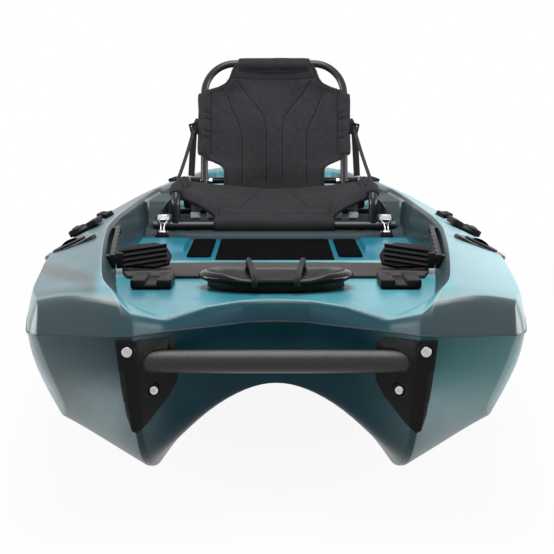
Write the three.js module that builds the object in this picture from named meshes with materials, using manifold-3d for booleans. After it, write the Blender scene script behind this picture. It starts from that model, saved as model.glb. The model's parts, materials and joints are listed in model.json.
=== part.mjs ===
// Sit-on-top fishing kayak with a tunnel hull, a bow carry bar and a framed fabric seat.
// Millimetres, +Z up, bow towards -Y, port side towards +X.
// The origin is at the bottom centre of the whole boat, on the ground plane.

import * as THREE from 'three';
import { mergeVertices } from 'three/addons/utils/BufferGeometryUtils.js';
import Module from 'manifold-3d';

const wasm = await Module();
wasm.setup();

// Driving dimensions of the hull
const BOW_TO_MIDDLE = 1751.05;
const SEAM_HEIGHT = 300;
const SEAM_GAP = 0.3;
const WALL = 5;
const FIT_GAP = 0.3;
const KEEL_OFFSET = 207;
const KEEL_FLAT = 8;
const STERN_HALF_WIDTH = 190;
const STERN_END = 3505;
const STERN_ROUNDING = 27;

// Driving dimensions of the bow carry bar
const BAR_RADIUS = 16.5;
const BAR_STATION = 27;
const BAR_HEIGHT = 260;
const BAR_HALF_LENGTH = 203;
const BRACKET_THICKNESS = 6;
const SOCKET_WALL = 4;
const SOCKET_MOUTH = THREE.MathUtils.degToRad(48);

// Driving dimensions of the seat
const SEAT_TUBE = 12.5;
const SEAT_FRONT = 1632;
const SEAT_REAR = 2110;
const SHELF_HEIGHT = 279.5;
const SEAT_BAR_HEIGHT = SHELF_HEIGHT + SEAT_TUBE + 1;
const SEAT_BAR_HALF_LENGTH = 325;
const RAIL_HEIGHT = 387;
const RAIL_OFFSET = 265;
const RAIL_BEND = 40;
const HOOP_TUBE = 11;
const HOOP_OFFSET = 210;
const HOOP_PIVOT = 2040;
const HOOP_LEAN = THREE.MathUtils.degToRad(12);
const HOOP_RISE = 357;
const HOOP_CORNER = 92;

// Driving dimensions of the deck fittings
const HATCH_STATION = 305;
const HATCH_HALF_WIDTH = 125;
const HATCH_HALF_LENGTH = 78;
const ROD_TUBE_OUTER = 26;
const ROD_TUBE_BORE = 22;
const ROD_TUBE_DEPTH = 190;
const ROD_FLANGE = 54;
const BLOCK = { width: 66, length: 96, height: 14, slot: 19, depth: 8 };
const MAT_THICKNESS = 4;
const MAT_CORNER = 10;
const MAT_GAP = 0.6;

const colours = {
  teal: 0x3f7f8c,
  slate: 0x4d5f66,
  black: 0x2b2b2d,
  charcoal: 0x3a3a3d,
  fabric: 0x35353a,
  mat: 0x5b5655,
  steel: 0xd8dadc,
};

const materials = {
  hull: { color: colours.slate, roughness: 0.45, metalness: 0 },
  deck: { color: colours.teal, roughness: 0.42, metalness: 0 },
  plastic: { color: colours.black, roughness: 0.55, metalness: 0 },
  gloss: { color: colours.black, roughness: 0.2, metalness: 0 },
  tube: { color: colours.charcoal, roughness: 0.5, metalness: 0.2 },
  fabric: { color: colours.fabric, roughness: 0.95, metalness: 0 },
  mat: { color: colours.mat, roughness: 0.9, metalness: 0 },
  steel: { color: colours.steel, roughness: 0.25, metalness: 1 },
};

const kayak = new THREE.Group();

// Scene helpers

function add(name, geometry, finish) {
  geometry.computeVertexNormals();
  const mesh = new THREE.Mesh(geometry, new THREE.MeshStandardMaterial(materials[finish]));
  mesh.name = name;
  kayak.add(mesh);
  return mesh;
}

function lengthwise(station) {
  return station - BOW_TO_MIDDLE;
}

function at(station, x, z) {
  return new THREE.Vector3(x, lengthwise(station), z);
}

// Solid helpers

function clean(geometry) {
  const bare = geometry.clone();
  bare.deleteAttribute('normal');
  bare.deleteAttribute('uv');
  return mergeVertices(bare, 1e-4);
}

function solidOf(geometry) {
  const welded = clean(geometry);
  return new wasm.Manifold(new wasm.Mesh({
    numProp: 3,
    vertProperties: new Float32Array(welded.getAttribute('position').array),
    triVerts: new Uint32Array(welded.index.array),
  }));
}

function geometryOf(solid) {
  const mesh = solid.getMesh();
  const geometry = new THREE.BufferGeometry();
  geometry.setAttribute('position', new THREE.BufferAttribute(new Float32Array(mesh.vertProperties), 3));
  geometry.setIndex(new THREE.BufferAttribute(new Uint32Array(mesh.triVerts), 1));
  return geometry;
}

function join(first, ...others) {
  return geometryOf(others.reduce((whole, next) => whole.add(solidOf(next)), solidOf(first)));
}

function cut(first, ...tools) {
  return geometryOf(tools.reduce((whole, tool) => whole.subtract(solidOf(tool)), solidOf(first)));
}

function common(first, second) {
  return geometryOf(solidOf(first).intersect(solidOf(second)));
}

// Flips a closed geometry whose faces point inwards.
function outward(geometry) {
  const position = geometry.getAttribute('position');
  const index = geometry.index.array;
  const [a, b, c] = [new THREE.Vector3(), new THREE.Vector3(), new THREE.Vector3()];
  let volume = 0;
  for (let i = 0; i < index.length; i += 3) {
    a.fromBufferAttribute(position, index[i]);
    b.fromBufferAttribute(position, index[i + 1]);
    c.fromBufferAttribute(position, index[i + 2]);
    volume += a.dot(b.cross(c));
  }
  if (volume < 0) {
    for (let i = 0; i < index.length; i += 3) {
      [index[i + 1], index[i + 2]] = [index[i + 2], index[i + 1]];
    }
  }
  return geometry;
}

// Joins two point grids of the same size, back to back, into one closed body.
function closeGrids(front, back) {
  const rows = front.length;
  const columns = front[0].length;
  const points = [...front.flat(), ...back.flat()];
  const offset = rows * columns;
  const index = [];
  const quad = (a, b, c, d) => index.push(a, b, c, a, c, d);
  const middle = (columns - 1) / 2;
  for (let r = 0; r < rows - 1; r++) {
    for (let c = 0; c < columns - 1; c++) {
      const p = r * columns + c;
      const ring = [p, p + 1, p + columns + 1, p + columns];
      const [i, j, k, l] = c < middle ? ring : [ring[1], ring[2], ring[3], ring[0]];
      quad(i, j, k, l);
      quad(offset + i, offset + l, offset + k, offset + j);
    }
  }
  const border = [];
  for (let c = 0; c < columns - 1; c++) border.push(c);
  for (let r = 0; r < rows - 1; r++) border.push(r * columns + columns - 1);
  for (let c = columns - 1; c > 0; c--) border.push((rows - 1) * columns + c);
  for (let r = rows - 1; r > 0; r--) border.push(r * columns);
  border.forEach((p, i) => {
    const q = border[(i + 1) % border.length];
    quad(q, p, offset + p, offset + q);
  });
  const geometry = new THREE.BufferGeometry().setFromPoints(points);
  geometry.setIndex(index);
  return outward(geometry);
}

function gridNormals(grid) {
  const rows = grid.length;
  const columns = grid[0].length;
  const clamp = THREE.MathUtils.clamp;
  return grid.map((row, r) => row.map((point, c) => {
    const along = grid[clamp(r + 1, 0, rows - 1)][c].clone().sub(grid[clamp(r - 1, 0, rows - 1)][c]);
    const across = row[clamp(c + 1, 0, columns - 1)].clone().sub(row[clamp(c - 1, 0, columns - 1)]);
    return along.cross(across).normalize();
  }));
}

function offsetGrid(grid, distance) {
  const normals = gridNormals(grid);
  return grid.map((row, r) => row.map((point, c) => point.clone().addScaledVector(normals[r][c], distance)));
}

// Thick sheet whose middle surface is the grid.
function slab(grid, thickness) {
  return closeGrids(offsetGrid(grid, thickness / 2), offsetGrid(grid, -thickness / 2));
}

// Curves

// Smooth curve through [place, value] pairs that never overshoots them.
function curve(pairs) {
  const xs = pairs.map((pair) => pair[0]);
  const ys = pairs.map((pair) => pair[1]);
  const slopes = xs.slice(1).map((x, i) => (ys[i + 1] - ys[i]) / (x - xs[i]));
  const tangents = xs.map((x, i) => {
    if (i === 0) return slopes[0];
    if (i === xs.length - 1) return slopes[i - 1];
    const product = slopes[i - 1] * slopes[i];
    return product <= 0 ? 0 : 2 * product / (slopes[i - 1] + slopes[i]);
  });
  return (x) => {
    if (x <= xs[0]) return ys[0];
    if (x >= xs[xs.length - 1]) return ys[ys.length - 1];
    const i = xs.findIndex((knot) => knot > x) - 1;
    const step = xs[i + 1] - xs[i];
    const t = (x - xs[i]) / step;
    const h = t * t * (3 - 2 * t);
    const rise = t * (1 - t) * (1 - t) * step * tangents[i];
    const fall = t * t * (1 - t) * step * tangents[i + 1];
    return ys[i] + (ys[i + 1] - ys[i]) * h + rise - fall;
  };
}

const mix = THREE.MathUtils.lerp;

// Path that passes through its points at even steps of its parameter.
class Run extends THREE.Curve {
  constructor(points) {
    super();
    this.points = points;
  }

  getPoint(t, target = new THREE.Vector3()) {
    const place = t * (this.points.length - 1);
    const i = Math.min(Math.floor(place), this.points.length - 2);
    return target.copy(this.points[i]).lerp(this.points[i + 1], place - i);
  }

  getPointAt(u, target) {
    return this.getPoint(u, target);
  }

  getTangentAt(u, target = new THREE.Vector3()) {
    const last = this.points.length - 1;
    const i = Math.round(u * last);
    const next = this.points[Math.min(i + 1, last)];
    const previous = this.points[Math.max(i - 1, 0)];
    return target.copy(next).sub(previous).normalize();
  }
}

// Replaces each inner corner of a polyline by an arc.
function rounded(points, radius, steps = 3) {
  const route = [points[0]];
  for (let i = 1; i < points.length - 1; i++) {
    const corner = points[i];
    const before = points[i - 1].clone().sub(corner).normalize();
    const after = points[i + 1].clone().sub(corner).normalize();
    const half = before.angleTo(after) / 2;
    const reach = radius / Math.tan(half);
    const centre = before.clone().add(after).normalize().multiplyScalar(radius / Math.sin(half)).add(corner);
    const start = corner.clone().addScaledVector(before, reach).sub(centre);
    const end = corner.clone().addScaledVector(after, reach).sub(centre);
    const turn = start.angleTo(end);
    for (let k = 0; k <= steps; k++) {
      const t = k / steps;
      const point = start.clone().multiplyScalar(Math.sin((1 - t) * turn) / Math.sin(turn));
      point.addScaledVector(end, Math.sin(t * turn) / Math.sin(turn));
      route.push(point.add(centre));
    }
  }
  route.push(points[points.length - 1]);
  return route;
}

function tube(points, radius, sides = 12) {
  const ring = new THREE.Shape();
  for (let k = 0; k < sides; k++) {
    const angle = (k + 0.5) * 2 * Math.PI / sides;
    const [x, y] = [radius * Math.cos(angle), radius * Math.sin(angle)];
    if (k === 0) ring.moveTo(x, y);
    else ring.lineTo(x, y);
  }
  ring.closePath();
  const path = new Run(points);
  return new THREE.ExtrudeGeometry(ring, {
    steps: points.length - 1, extrudePath: path, bevelEnabled: false, curveSegments: 1,
  });
}

// Upright prism over an outline of [x, y] points, or the other way round for a Shape.
function prism(outline, bottom, top) {
  const shape = outline instanceof THREE.Shape
    ? outline : new THREE.Shape(outline.map(([x, y]) => new THREE.Vector2(x, y)));
  return new THREE.ExtrudeGeometry(shape, { depth: top - bottom, bevelEnabled: false, curveSegments: 3 })
    .translate(0, 0, bottom);
}

function roundedRect(width, length, radius) {
  const shape = new THREE.Shape();
  const [w, l] = [width / 2 - radius, length / 2 - radius];
  shape.absarc(w, l, radius, 0, Math.PI / 2);
  shape.absarc(-w, l, radius, Math.PI / 2, Math.PI);
  shape.absarc(-w, -l, radius, Math.PI, 1.5 * Math.PI);
  shape.absarc(w, -l, radius, 1.5 * Math.PI, 2 * Math.PI);
  shape.closePath();
  return shape;
}

function box(width, length, height) {
  return new THREE.BoxGeometry(width, length, height);
}

function cylinder(radius, height, sides = 16) {
  return new THREE.CylinderGeometry(radius, radius, height, sides).rotateX(Math.PI / 2);
}

function ellipse(a, b, points = 18) {
  return Array.from({ length: points }, (_, k) => {
    const angle = 2 * Math.PI * k / points;
    return [a * Math.cos(angle), b * Math.sin(angle)];
  });
}

function mirrored(geometry) {
  const copy = geometry.clone().scale(-1, 1, 1);
  if (!copy.index) return outward(mergeVertices(clean(copy)));
  return outward(copy);
}

// Both sides of a fitting that is the same on port and starboard.
function addPair(name, geometry, finish) {
  add(`${name}_port`, geometry, finish);
  add(`${name}_starboard`, mirrored(geometry), finish);
}

// Lines plan: every curve runs along the station, the distance behind the bow

const seamWidth = curve([[40, 352], [64, 357], [100, 364], [150, 373], [240, 387], [300, 396], [520, 426],
  [710, 448], [980, 457], [1600, 457], [1800, 452], [2000, 440], [2300, 412], [2600, 378], [2900, 336],
  [3200, 280], [3430, 217]]);
const chineWidth = curve([[205, 334], [255, 346], [320, 353], [500, 375], [800, 397], [1200, 407],
  [2000, 398], [2500, 352], [3000, 272], [3430, 190]]);
const chineHeight = curve([[205, 138], [255, 126], [320, 121], [500, 104], [800, 86], [1200, 76], [2000, 74],
  [2500, 82], [3000, 98], [3430, 130]]);
const keelHeight = curve([[60, 104], [130, 76], [200, 57], [300, 38], [450, 18], [600, 6], [800, 0],
  [2800, 0], [3100, 8], [3300, 26], [3430, 52]]);
const keelPlace = curve([[200, 189], [500, 198], [800, KEEL_OFFSET], [2400, KEEL_OFFSET], [3000, 182],
  [3430, 140]]);
const tunnelHeight = curve([[137, 207], [300, 190], [600, 165], [1000, 132], [1500, 112], [2200, 112],
  [2800, 130], [3200, 150], [3430, 168]]);

const CONSOLE_HEIGHT = 350;
const CONSOLE_EDGE = 294;
const gunwaleInset = curve([[150, 9], [700, 14], [3000, 14], [3430, 12]]);
const gunwaleHeight = curve([[150, 345], [400, 338], [710, 331], [1200, 326], [1800, 330], [2400, 342],
  [3000, 351], [3430, 354]]);
const rimWidth = curve([[130, 254], [167, 262], [330, 286], [585, 318], [1040, 357], [1640, 366], [2000, 358],
  [2300, 336], [2600, 303], [2900, 266], [3130, 236], [3300, 210], [3430, 168]]);
const rimHeight = curve([[130, 358], [585, 366], [1040, 366], [1640, 361], [2300, 361], [3100, 366],
  [3200, 362], [3430, 358]]);
const floorHeight = curve([[150, 322], [370, 324], [500, 325], [612, 326], [650, 328], [664, 300], [684, 247],
  [900, 248], [1150, 252], [1335, 256], [1385, 257], [1570, 262], [1586, 264], [1600, SHELF_HEIGHT],
  [2345, SHELF_HEIGHT], [2372, 335], [2395, 352], [2495, 352], [2520, 330], [2548, 262], [2800, 256],
  [3090, 258], [3120, 330], [3150, 356], [3300, 360], [3430, 360]]);
const ledgeHeight = curve([[1335, 256], [1385, 268], [1586, 269], [1600, SHELF_HEIGHT], [1612, 289],
  [1690, 290], [1706, CONSOLE_HEIGHT], [2060, CONSOLE_HEIGHT], [2078, 290], [2150, 288],
  [2200, SHELF_HEIGHT]]);
const ledgeEdge = curve([[150, 180], [250, 200], [612, 226], [1586, 226], [1612, 336], [1690, 336],
  [1706, CONSOLE_EDGE], [2060, CONSOLE_EDGE], [2078, 336], [2150, 336], [2200, 226], [2400, 226], [2548, 205],
  [3090, 165], [3430, 105]]);
const wallRun = curve([[130, 22], [250, 16], [2400, 14], [3090, 14], [3150, 4]]);

function sternStation(x) {
  return STERN_END - STERN_ROUNDING * (x / STERN_HALF_WIDTH) ** 2;
}

// Hull below the seam: one row of [station, x, z] for each of ten lines from seam to centre.
const bottomBowRows = [
  [[40, 352, 300], [26, 346, 300], [14, 334, 300], [5, 270, 300], [3, 214, 300],
    [6, 200, 300], [40, 160, 300], [78, 102, 300], [116, 45, 300], [130, 0, 300]],
  [[64, 357, 300], [74, 354, 262], [88, 331, 230], [36, 268, 244], [6, 208, 250],
    [9, 197, 250], [43, 160, 250], [80, 102, 254], [117, 45, 262], [131, 0, 268]],
  [[100, 364, 300], [120, 363, 232], [160, 316, 156], [80, 266, 184], [12, 204, 206],
    [15, 194, 206], [47, 160, 204], [82, 102, 221], [118, 45, 237], [132, 0, 243]],
  [[140, 371, 300], [160, 368, 222], [205, 332, 136], [120, 262, 137], [24, 198, 149],
    [27, 189, 149], [52, 161, 153], [85, 102, 187], [120, 45, 210], [133, 0, 219]],
  [[180, 378, 300], [205, 375, 215], [255, 344, 124], [165, 266, 109], [60, 194, 104],
    [62, 186, 104], [75, 160, 114], [92, 102, 172], [124, 45, 199], [137, 0, 207]],
];

function bottomSection(station, lead) {
  const outer = station + lead;
  const keel = keelPlace(station);
  const inner = keel - KEEL_FLAT / 2;
  const [xc, zc] = [chineWidth(outer), chineHeight(outer)];
  const zk = keelHeight(station);
  const za = tunnelHeight(station);
  const arch = (share) => [station, inner * share, mix(za, zk, share * share)];
  return [
    [outer, seamWidth(outer), SEAM_HEIGHT],
    [outer, mix(seamWidth(outer), xc, 0.42) + 6, mix(SEAM_HEIGHT, zc, 0.5)],
    [outer, xc, zc],
    [station + lead / 2, (xc + keel) / 2 + 3, mix(zc, zk, 0.5) - 3],
    [station, keel + KEEL_FLAT / 2, zk],
    [station, inner, zk],
    arch(0.8), arch(0.51), arch(0.225), arch(0),
  ];
}

function bottomStern(section) {
  const shares = [1, 0.97, 0.9, 0.78, 0.64, 0.58, 0.45, 0.3, 0.14, 0];
  const seam = shares.map((share) => {
    const x = STERN_HALF_WIDTH * share;
    return [sternStation(x), x, SEAM_HEIGHT];
  });
  const middle = seam.map((point, i) => [
    mix(section[i][0], point[0], 0.62) + 8,
    mix(section[i][1], point[1], 0.5),
    mix(section[i][2], point[2], i === 0 ? 1 : 0.42),
  ]);
  return [middle, seam];
}

function bottomRows() {
  const places = [[130, 180], [220, 100], [340, 40], [480, 0], [700, 0], [1000, 0], [1400, 0], [1800, 0],
    [2200, 0], [2600, 0], [2900, 0], [3150, 0], [3320, 0], [3430, 0]];
  const sections = places.map(([station, lead]) => bottomSection(station, lead));
  return [...bottomBowRows, ...sections, ...bottomStern(sections[sections.length - 1])];
}

// Deck above the seam: ten lines from seam over gunwale and rim to the centre of the floor.
const deckBowRows = [
  [[40, 352, 300], [26, 346, 300], [14, 334, 300], [5, 270, 300], [3, 214, 300], [6, 200, 300],
    [40, 160, 300], [78, 102, 300], [112, 50, 300], [130, 0, 300]],
  [[52, 355, 300], [34, 347, 322], [19, 332, 346], [9, 268, 357], [9, 216, 336], [11, 200, 325],
    [43, 159, 311], [81, 102, 323], [115, 50, 326], [133, 0, 326]],
  [[66, 358, 300], [56, 353, 324], [40, 339, 349], [28, 280, 361], [16, 218, 348], [20, 203, 333],
    [52, 158, 319], [90, 102, 331], [125, 50, 334], [143, 0, 334]],
  [[100, 364, 300], [95, 361, 323], [85, 350, 348], [75, 298, 361], [56, 234, 359], [64, 221, 344],
    [84, 184, 319], [106, 110, 324], [140, 55, 326], [158, 0, 326]],
];

function deckSection(stations) {
  const [outer, inner] = stations;
  const width = seamWidth(outer);
  const gunwale = width - gunwaleInset(outer);
  const rim = mix(outer, inner, 0.3);
  const wall = mix(outer, inner, 0.6);
  const wallFoot = rimWidth(wall) - 8 - wallRun(wall);
  const floor = floorHeight(inner);
  const ledge = inner > 1335 && inner < 2200 ? ledgeHeight(inner) : floorHeight(wall);
  const edge = ledgeEdge(inner);
  return [
    [outer, width, SEAM_HEIGHT],
    [outer, width - 3, SEAM_HEIGHT + 18],
    [outer, gunwale, gunwaleHeight(outer)],
    [rim, (gunwale + rimWidth(rim)) / 2, (gunwaleHeight(outer) + rimHeight(rim)) / 2 + 4],
    [rim, rimWidth(rim), rimHeight(rim)],
    [rim, rimWidth(rim) - 8, Math.max(rimHeight(rim) - 9, floorHeight(wall))],
    [wall, wallFoot, ledge],
    [inner, edge, ledge],
    [inner, edge - 8, floor],
    [inner, 0, floor],
  ];
}

function deckStern() {
  const top = [[3462, 201, 300], [3466, 197, 322], [3470, 188, 350], [3479, 165, 355]];
  const shares = [0.7, 0.6, 0.5, 0.4, 0.36, 0];
  const seamShares = [1, 0.97, 0.9, 0.78, ...shares];
  const crown = shares.map((share) => {
    const x = STERN_HALF_WIDTH * share;
    return [sternStation(x) - 7, x, 357];
  });
  const seam = seamShares.map((share) => {
    const x = STERN_HALF_WIDTH * share;
    return [sternStation(x), x, SEAM_HEIGHT];
  });
  return [[...top, ...crown], seam];
}

function deckRows() {
  const stations = [[150, 195], [250, 250], [370, 370], [612, 612], [650, 650], [664, 664],
    [684, 684], [900, 900], [1150, 1150], [1335, 1335], [1385, 1385], [1570, 1570], [1586, 1586],
    [1600, 1600], [1612, 1612], [1690, 1690], [1706, 1706], [2060, 2060], [2078, 2078], [2150, 2150],
    [2200, 2200], [2345, 2345], [2372, 2372], [2395, 2395], [2495, 2495],
    [2520, 2520], [2548, 2548], [2800, 2800], [3090, 3090], [3120, 3120], [3150, 3150], [3300, 3300],
    [3430, 3430]];
  return [...deckBowRows, ...stations.map(deckSection), ...deckStern()];
}

function fullGrid(rows) {
  return rows.map((row) => {
    const half = row.map(([station, x, z]) => at(station, x, z));
    const other = half.slice(0, -1).reverse().map((point) => new THREE.Vector3(-point.x, point.y, point.z));
    return [...half, ...other];
  });
}

// Moulded shell: the skin keeps its outline flat at the seam and is WALL thick.
function shell(rows, inwards, seam) {
  const skin = fullGrid(rows);
  const lining = offsetGrid(skin, inwards * WALL);
  const last = skin.length - 1;
  const end = skin[0].length - 1;
  const centre = new THREE.Vector3(0, 0, seam);
  skin.forEach((row, r) => row.forEach((point, c) => {
    if (r > 0 && r < last && c > 0 && c < end) return;
    point.z = seam;
    const inward = centre.clone().setY(THREE.MathUtils.clamp(point.y, -BOW_TO_MIDDLE + 400, 1350));
    inward.sub(point).setZ(0).normalize();
    lining[r][c].copy(point).addScaledVector(inward, WALL);
  }));
  return closeGrids(skin, lining);
}

// Closed solid under the seam, grown by a distance, used as a fitting gauge.
function bottomGauge(distance) {
  const skin = offsetGrid(fullGrid(bottomRows()), -distance);
  const lid = skin.map((row) => row.map((point) => new THREE.Vector3(point.x, point.y, SEAM_HEIGHT + 40)));
  return closeGrids(skin, lid);
}

// Finds the top of the deck at a plan position and the turn that lays a fitting flat on it.
const deckShell = shell(deckRows(), -1, SEAM_HEIGHT + SEAM_GAP / 2);
const deckTarget = new THREE.Mesh(deckShell, new THREE.MeshBasicMaterial({ side: THREE.DoubleSide }));

function deckPoint(station, x) {
  const start = at(station, x, 1000);
  const hits = new THREE.Raycaster(start, new THREE.Vector3(0, 0, -1)).intersectObject(deckTarget);
  return hits[0].point;
}

function deckSeat(station, x, reach, lift) {
  const ahead = deckPoint(station - reach, x);
  const behind = deckPoint(station + reach, x);
  const left = deckPoint(station, x - reach);
  const right = deckPoint(station, x + reach);
  const along = behind.clone().sub(ahead).normalize();
  const up = right.clone().sub(left).cross(along).normalize();
  const across = along.clone().cross(up);
  const middle = left.add(right).add(ahead).add(behind).multiplyScalar(0.25);
  middle.addScaledVector(up, lift);
  return new THREE.Matrix4().makeBasis(across, along, up).setPosition(middle);
}

// Tools that are later taken out of the two hull shells
const deckCuts = [];
const bottomCuts = [];

// Bow carry bar, its corner brackets and screws

function bowBar() {
  return cylinder(BAR_RADIUS, 2 * BAR_HALF_LENGTH, 24).rotateY(Math.PI / 2)
    .translate(0, lengthwise(BAR_STATION), BAR_HEIGHT);
}

function alongX(radius, from, to, station, z, sides = 16) {
  return cylinder(radius, Math.abs(to - from), sides).rotateY(Math.PI / 2)
    .translate((from + to) / 2, lengthwise(station), z);
}

function alongY(radius, from, to, x, z, sides = 16) {
  return cylinder(radius, Math.abs(to - from), sides).rotateX(Math.PI / 2)
    .translate(x, (lengthwise(from) + lengthwise(to)) / 2, z);
}

const bracketOutline = [[223, 294], [152, 292], [142, 282], [142, 228], [153, 207], [181, 173],
  [197, 158], [204, 162], [211, 184], [217, 229]];
const bowScrews = [
  { name: 'upper', x: 207, z: 279, seat: 1, head: 7.4, recess: 10.5 },
  { name: 'lower', x: 173, z: 219, seat: 27, head: 6.2, recess: 8.6 },
];
const SCREW_SHANK = 3;
const SCREW_HEAD_DEPTH = 3.2;
const SCREW_LENGTH = 22;

function bowBracket() {
  const outline = prism(bracketOutline, -90, 10).rotateX(Math.PI / 2);
  outline.translate(0, lengthwise(0), 0);
  const plate = common(outline, bottomGauge(BRACKET_THICKNESS + FIT_GAP));
  const fitted = cut(plate, bottomGauge(FIT_GAP));
  const sleeve = alongX(BAR_RADIUS + SOCKET_WALL, 152, BAR_HALF_LENGTH + 5, BAR_STATION, BAR_HEIGHT);
  const bore = alongX(BAR_RADIUS + FIT_GAP, 90, BAR_HALF_LENGTH + FIT_GAP, BAR_STATION, BAR_HEIGHT);
  const screws = bowScrews.flatMap((screw) => [
    alongY(screw.recess, -20, screw.seat, screw.x, screw.z, 12),
    alongY(SCREW_SHANK + FIT_GAP, -20, 80, screw.x, screw.z, 8),
  ]);
  const mouth = box(200, 120, 120).translate(-100, 0, 0).rotateZ(SOCKET_MOUTH)
    .translate(166, lengthwise(BAR_STATION), BAR_HEIGHT);
  return cut(join(fitted, cut(sleeve, mouth)), bore, ...screws);
}

function bowScrew({ x, z, seat, head }) {
  const depth = seat - FIT_GAP;
  const cap = alongY(head, depth - SCREW_HEAD_DEPTH, depth, x, z, 14);
  const shank = alongY(SCREW_SHANK, depth - 1, depth + SCREW_LENGTH, x, z, 8);
  const drive = alongY(1.8, depth - SCREW_HEAD_DEPTH - 1, depth - SCREW_HEAD_DEPTH + 1.6, x, z, 6);
  return cut(join(cap, shank), drive);
}

function addBowHandle() {
  add('bow_handle_bar', bowBar(), 'tube');
  addPair('bow_bracket', bowBracket(), 'plastic');
  bowScrews.forEach((screw) => addPair(`bow_screw_${screw.name}`, bowScrew(screw), 'steel'));
  const socketEnd = BAR_HALF_LENGTH + 5 + FIT_GAP;
  const socket = alongX(BAR_RADIUS + SOCKET_WALL + FIT_GAP, 120, socketEnd, BAR_STATION, BAR_HEIGHT);
  const holes = bowScrews.map((screw) => alongY(SCREW_SHANK + FIT_GAP, -20, 80, screw.x, screw.z, 12));
  [socket, ...holes].forEach((tool) => bottomCuts.push(tool, mirrored(tool)));
}

// Bow hatch: rim, bucket under it, dished lid on a rear hinge and its two straps

const HATCH_DECK = floorHeight(400) + 0.6;
const LID_BOTTOM = HATCH_DECK + 12;
const LID_HINGE_STATION = HATCH_STATION + HATCH_HALF_LENGTH + 5;
const STRAP_PLACE = 38;

function hatchDisc(grow, bottom, top) {
  const outline = ellipse(HATCH_HALF_WIDTH + grow, HATCH_HALF_LENGTH + grow);
  return prism(outline, bottom, top).translate(0, lengthwise(HATCH_STATION), 0);
}

function addHatch() {
  const rim = join(hatchDisc(-14, HATCH_DECK + FIT_GAP, LID_BOTTOM - FIT_GAP),
    hatchDisc(-22, HATCH_DECK - 8, HATCH_DECK + 2));
  const knuckle = box(60, 12, 10).translate(0, lengthwise(LID_HINGE_STATION), HATCH_DECK + FIT_GAP + 5);
  const arm = box(60, 24, 6).translate(0, lengthwise(LID_HINGE_STATION - 14), HATCH_DECK + FIT_GAP + 3);
  add('hatch_rim', cut(join(rim, knuckle, arm), hatchDisc(-28, HATCH_DECK - 20, LID_BOTTOM + 5)), 'plastic');
  const bucket = cut(hatchDisc(-28.3, HATCH_DECK - 95, HATCH_DECK + 6), hatchDisc(-31, HATCH_DECK - 92, 400));
  add('hatch_bucket', bucket, 'plastic');
  deckCuts.push(hatchDisc(-22 + FIT_GAP, 200, 400));
  const dish = new THREE.SphereGeometry(1, 20, 8).scale(HATCH_HALF_WIDTH - 20, HATCH_HALF_LENGTH - 16, 12);
  dish.translate(0, lengthwise(HATCH_STATION), LID_BOTTOM + 18);
  const front = box(88, 60, 20).translate(0, lengthwise(HATCH_STATION - HATCH_HALF_LENGTH), LID_BOTTOM + 17);
  const body = join(hatchDisc(-6, LID_BOTTOM, LID_BOTTOM + 6), hatchDisc(0, LID_BOTTOM + 3, LID_BOTTOM + 14));
  add('hatch_lid', cut(body, dish, front), 'gloss');
  [1, -1].forEach((side) => {
    const x = side * STRAP_PLACE;
    const [near, far] = [HATCH_STATION - HATCH_HALF_LENGTH - 6, HATCH_STATION + HATCH_HALF_LENGTH + 4];
    const top = LID_BOTTOM + 15.5;
    const route = [at(near, x * 1.25, HATCH_DECK + 8), at(near + 3, x * 1.25, top - 3),
      at(near + 22, x * 1.2, top), at(HATCH_STATION, x * 1.1, top + 4), at(far - 22, x, top + 13),
      at(far - 3, x, top + 3)];
    const strap = tube(route, 5, 8);
    const buckle = box(20, 12, 10).translate(x * 1.25, lengthwise(near - 3), HATCH_DECK + 9);
    add(`hatch_strap_${side > 0 ? 'port' : 'starboard'}`,
      cut(join(strap, buckle), hatchDisc(FIT_GAP, 0, LID_BOTTOM + 14 + FIT_GAP)), 'plastic');
  });
}

// Foam mats laid on the bow floor and in the footwell

function addMats() {
  const bowTop = floorHeight(500) + 1;
  const strip = new THREE.Shape();
  strip.moveTo(-252, lengthwise(400));
  strip.lineTo(252, lengthwise(400));
  strip.quadraticCurveTo(272, lengthwise(470), 279, lengthwise(560));
  strip.quadraticCurveTo(0, lengthwise(592), -279, lengthwise(560));
  strip.quadraticCurveTo(-272, lengthwise(470), -252, lengthwise(400));
  add('bow_mat', prism(strip, bowTop + FIT_GAP, bowTop + MAT_THICKNESS), 'mat');
  add('floor_mat_centre', floorMat(280, 420, 1340, 0), 'mat');
  addPair('floor_mat', floorMat(58, 300, 1400, 182), 'mat');
}

// Panel that follows the slope of the footwell floor
function floorMat(width, length, station, x) {
  const [low, high] = [floorHeight(station - length / 2), floorHeight(station + length / 2)];
  return prism(roundedRect(width, length, MAT_CORNER), MAT_GAP, MAT_GAP + MAT_THICKNESS)
    .rotateX(Math.atan2(high - low, length)).translate(x, lengthwise(station), (low + high) / 2);
}

// Slotted rest blocks for a paddle or rod

function restBlock() {
  const body = prism(roundedRect(BLOCK.width, BLOCK.length, 6), 0, BLOCK.height);
  const slot = box(BLOCK.slot, BLOCK.length + 10, 2 * BLOCK.depth).translate(0, 0, BLOCK.height);
  return cut(body, slot);
}

function addBlocks() {
  const bow = restBlock().translate(201, lengthwise(328), floorHeight(328) + 1.5 + FIT_GAP);
  addPair('rest_block_bow', bow, 'plastic');
  const seat = deckSeat(1030, 412, 30, 1.5);
  addPair('rest_block_side', restBlock().applyMatrix4(seat), 'plastic');
}

// Flush rod holders: a flange on the deck, a closed tube under it and a hinged cap

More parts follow.
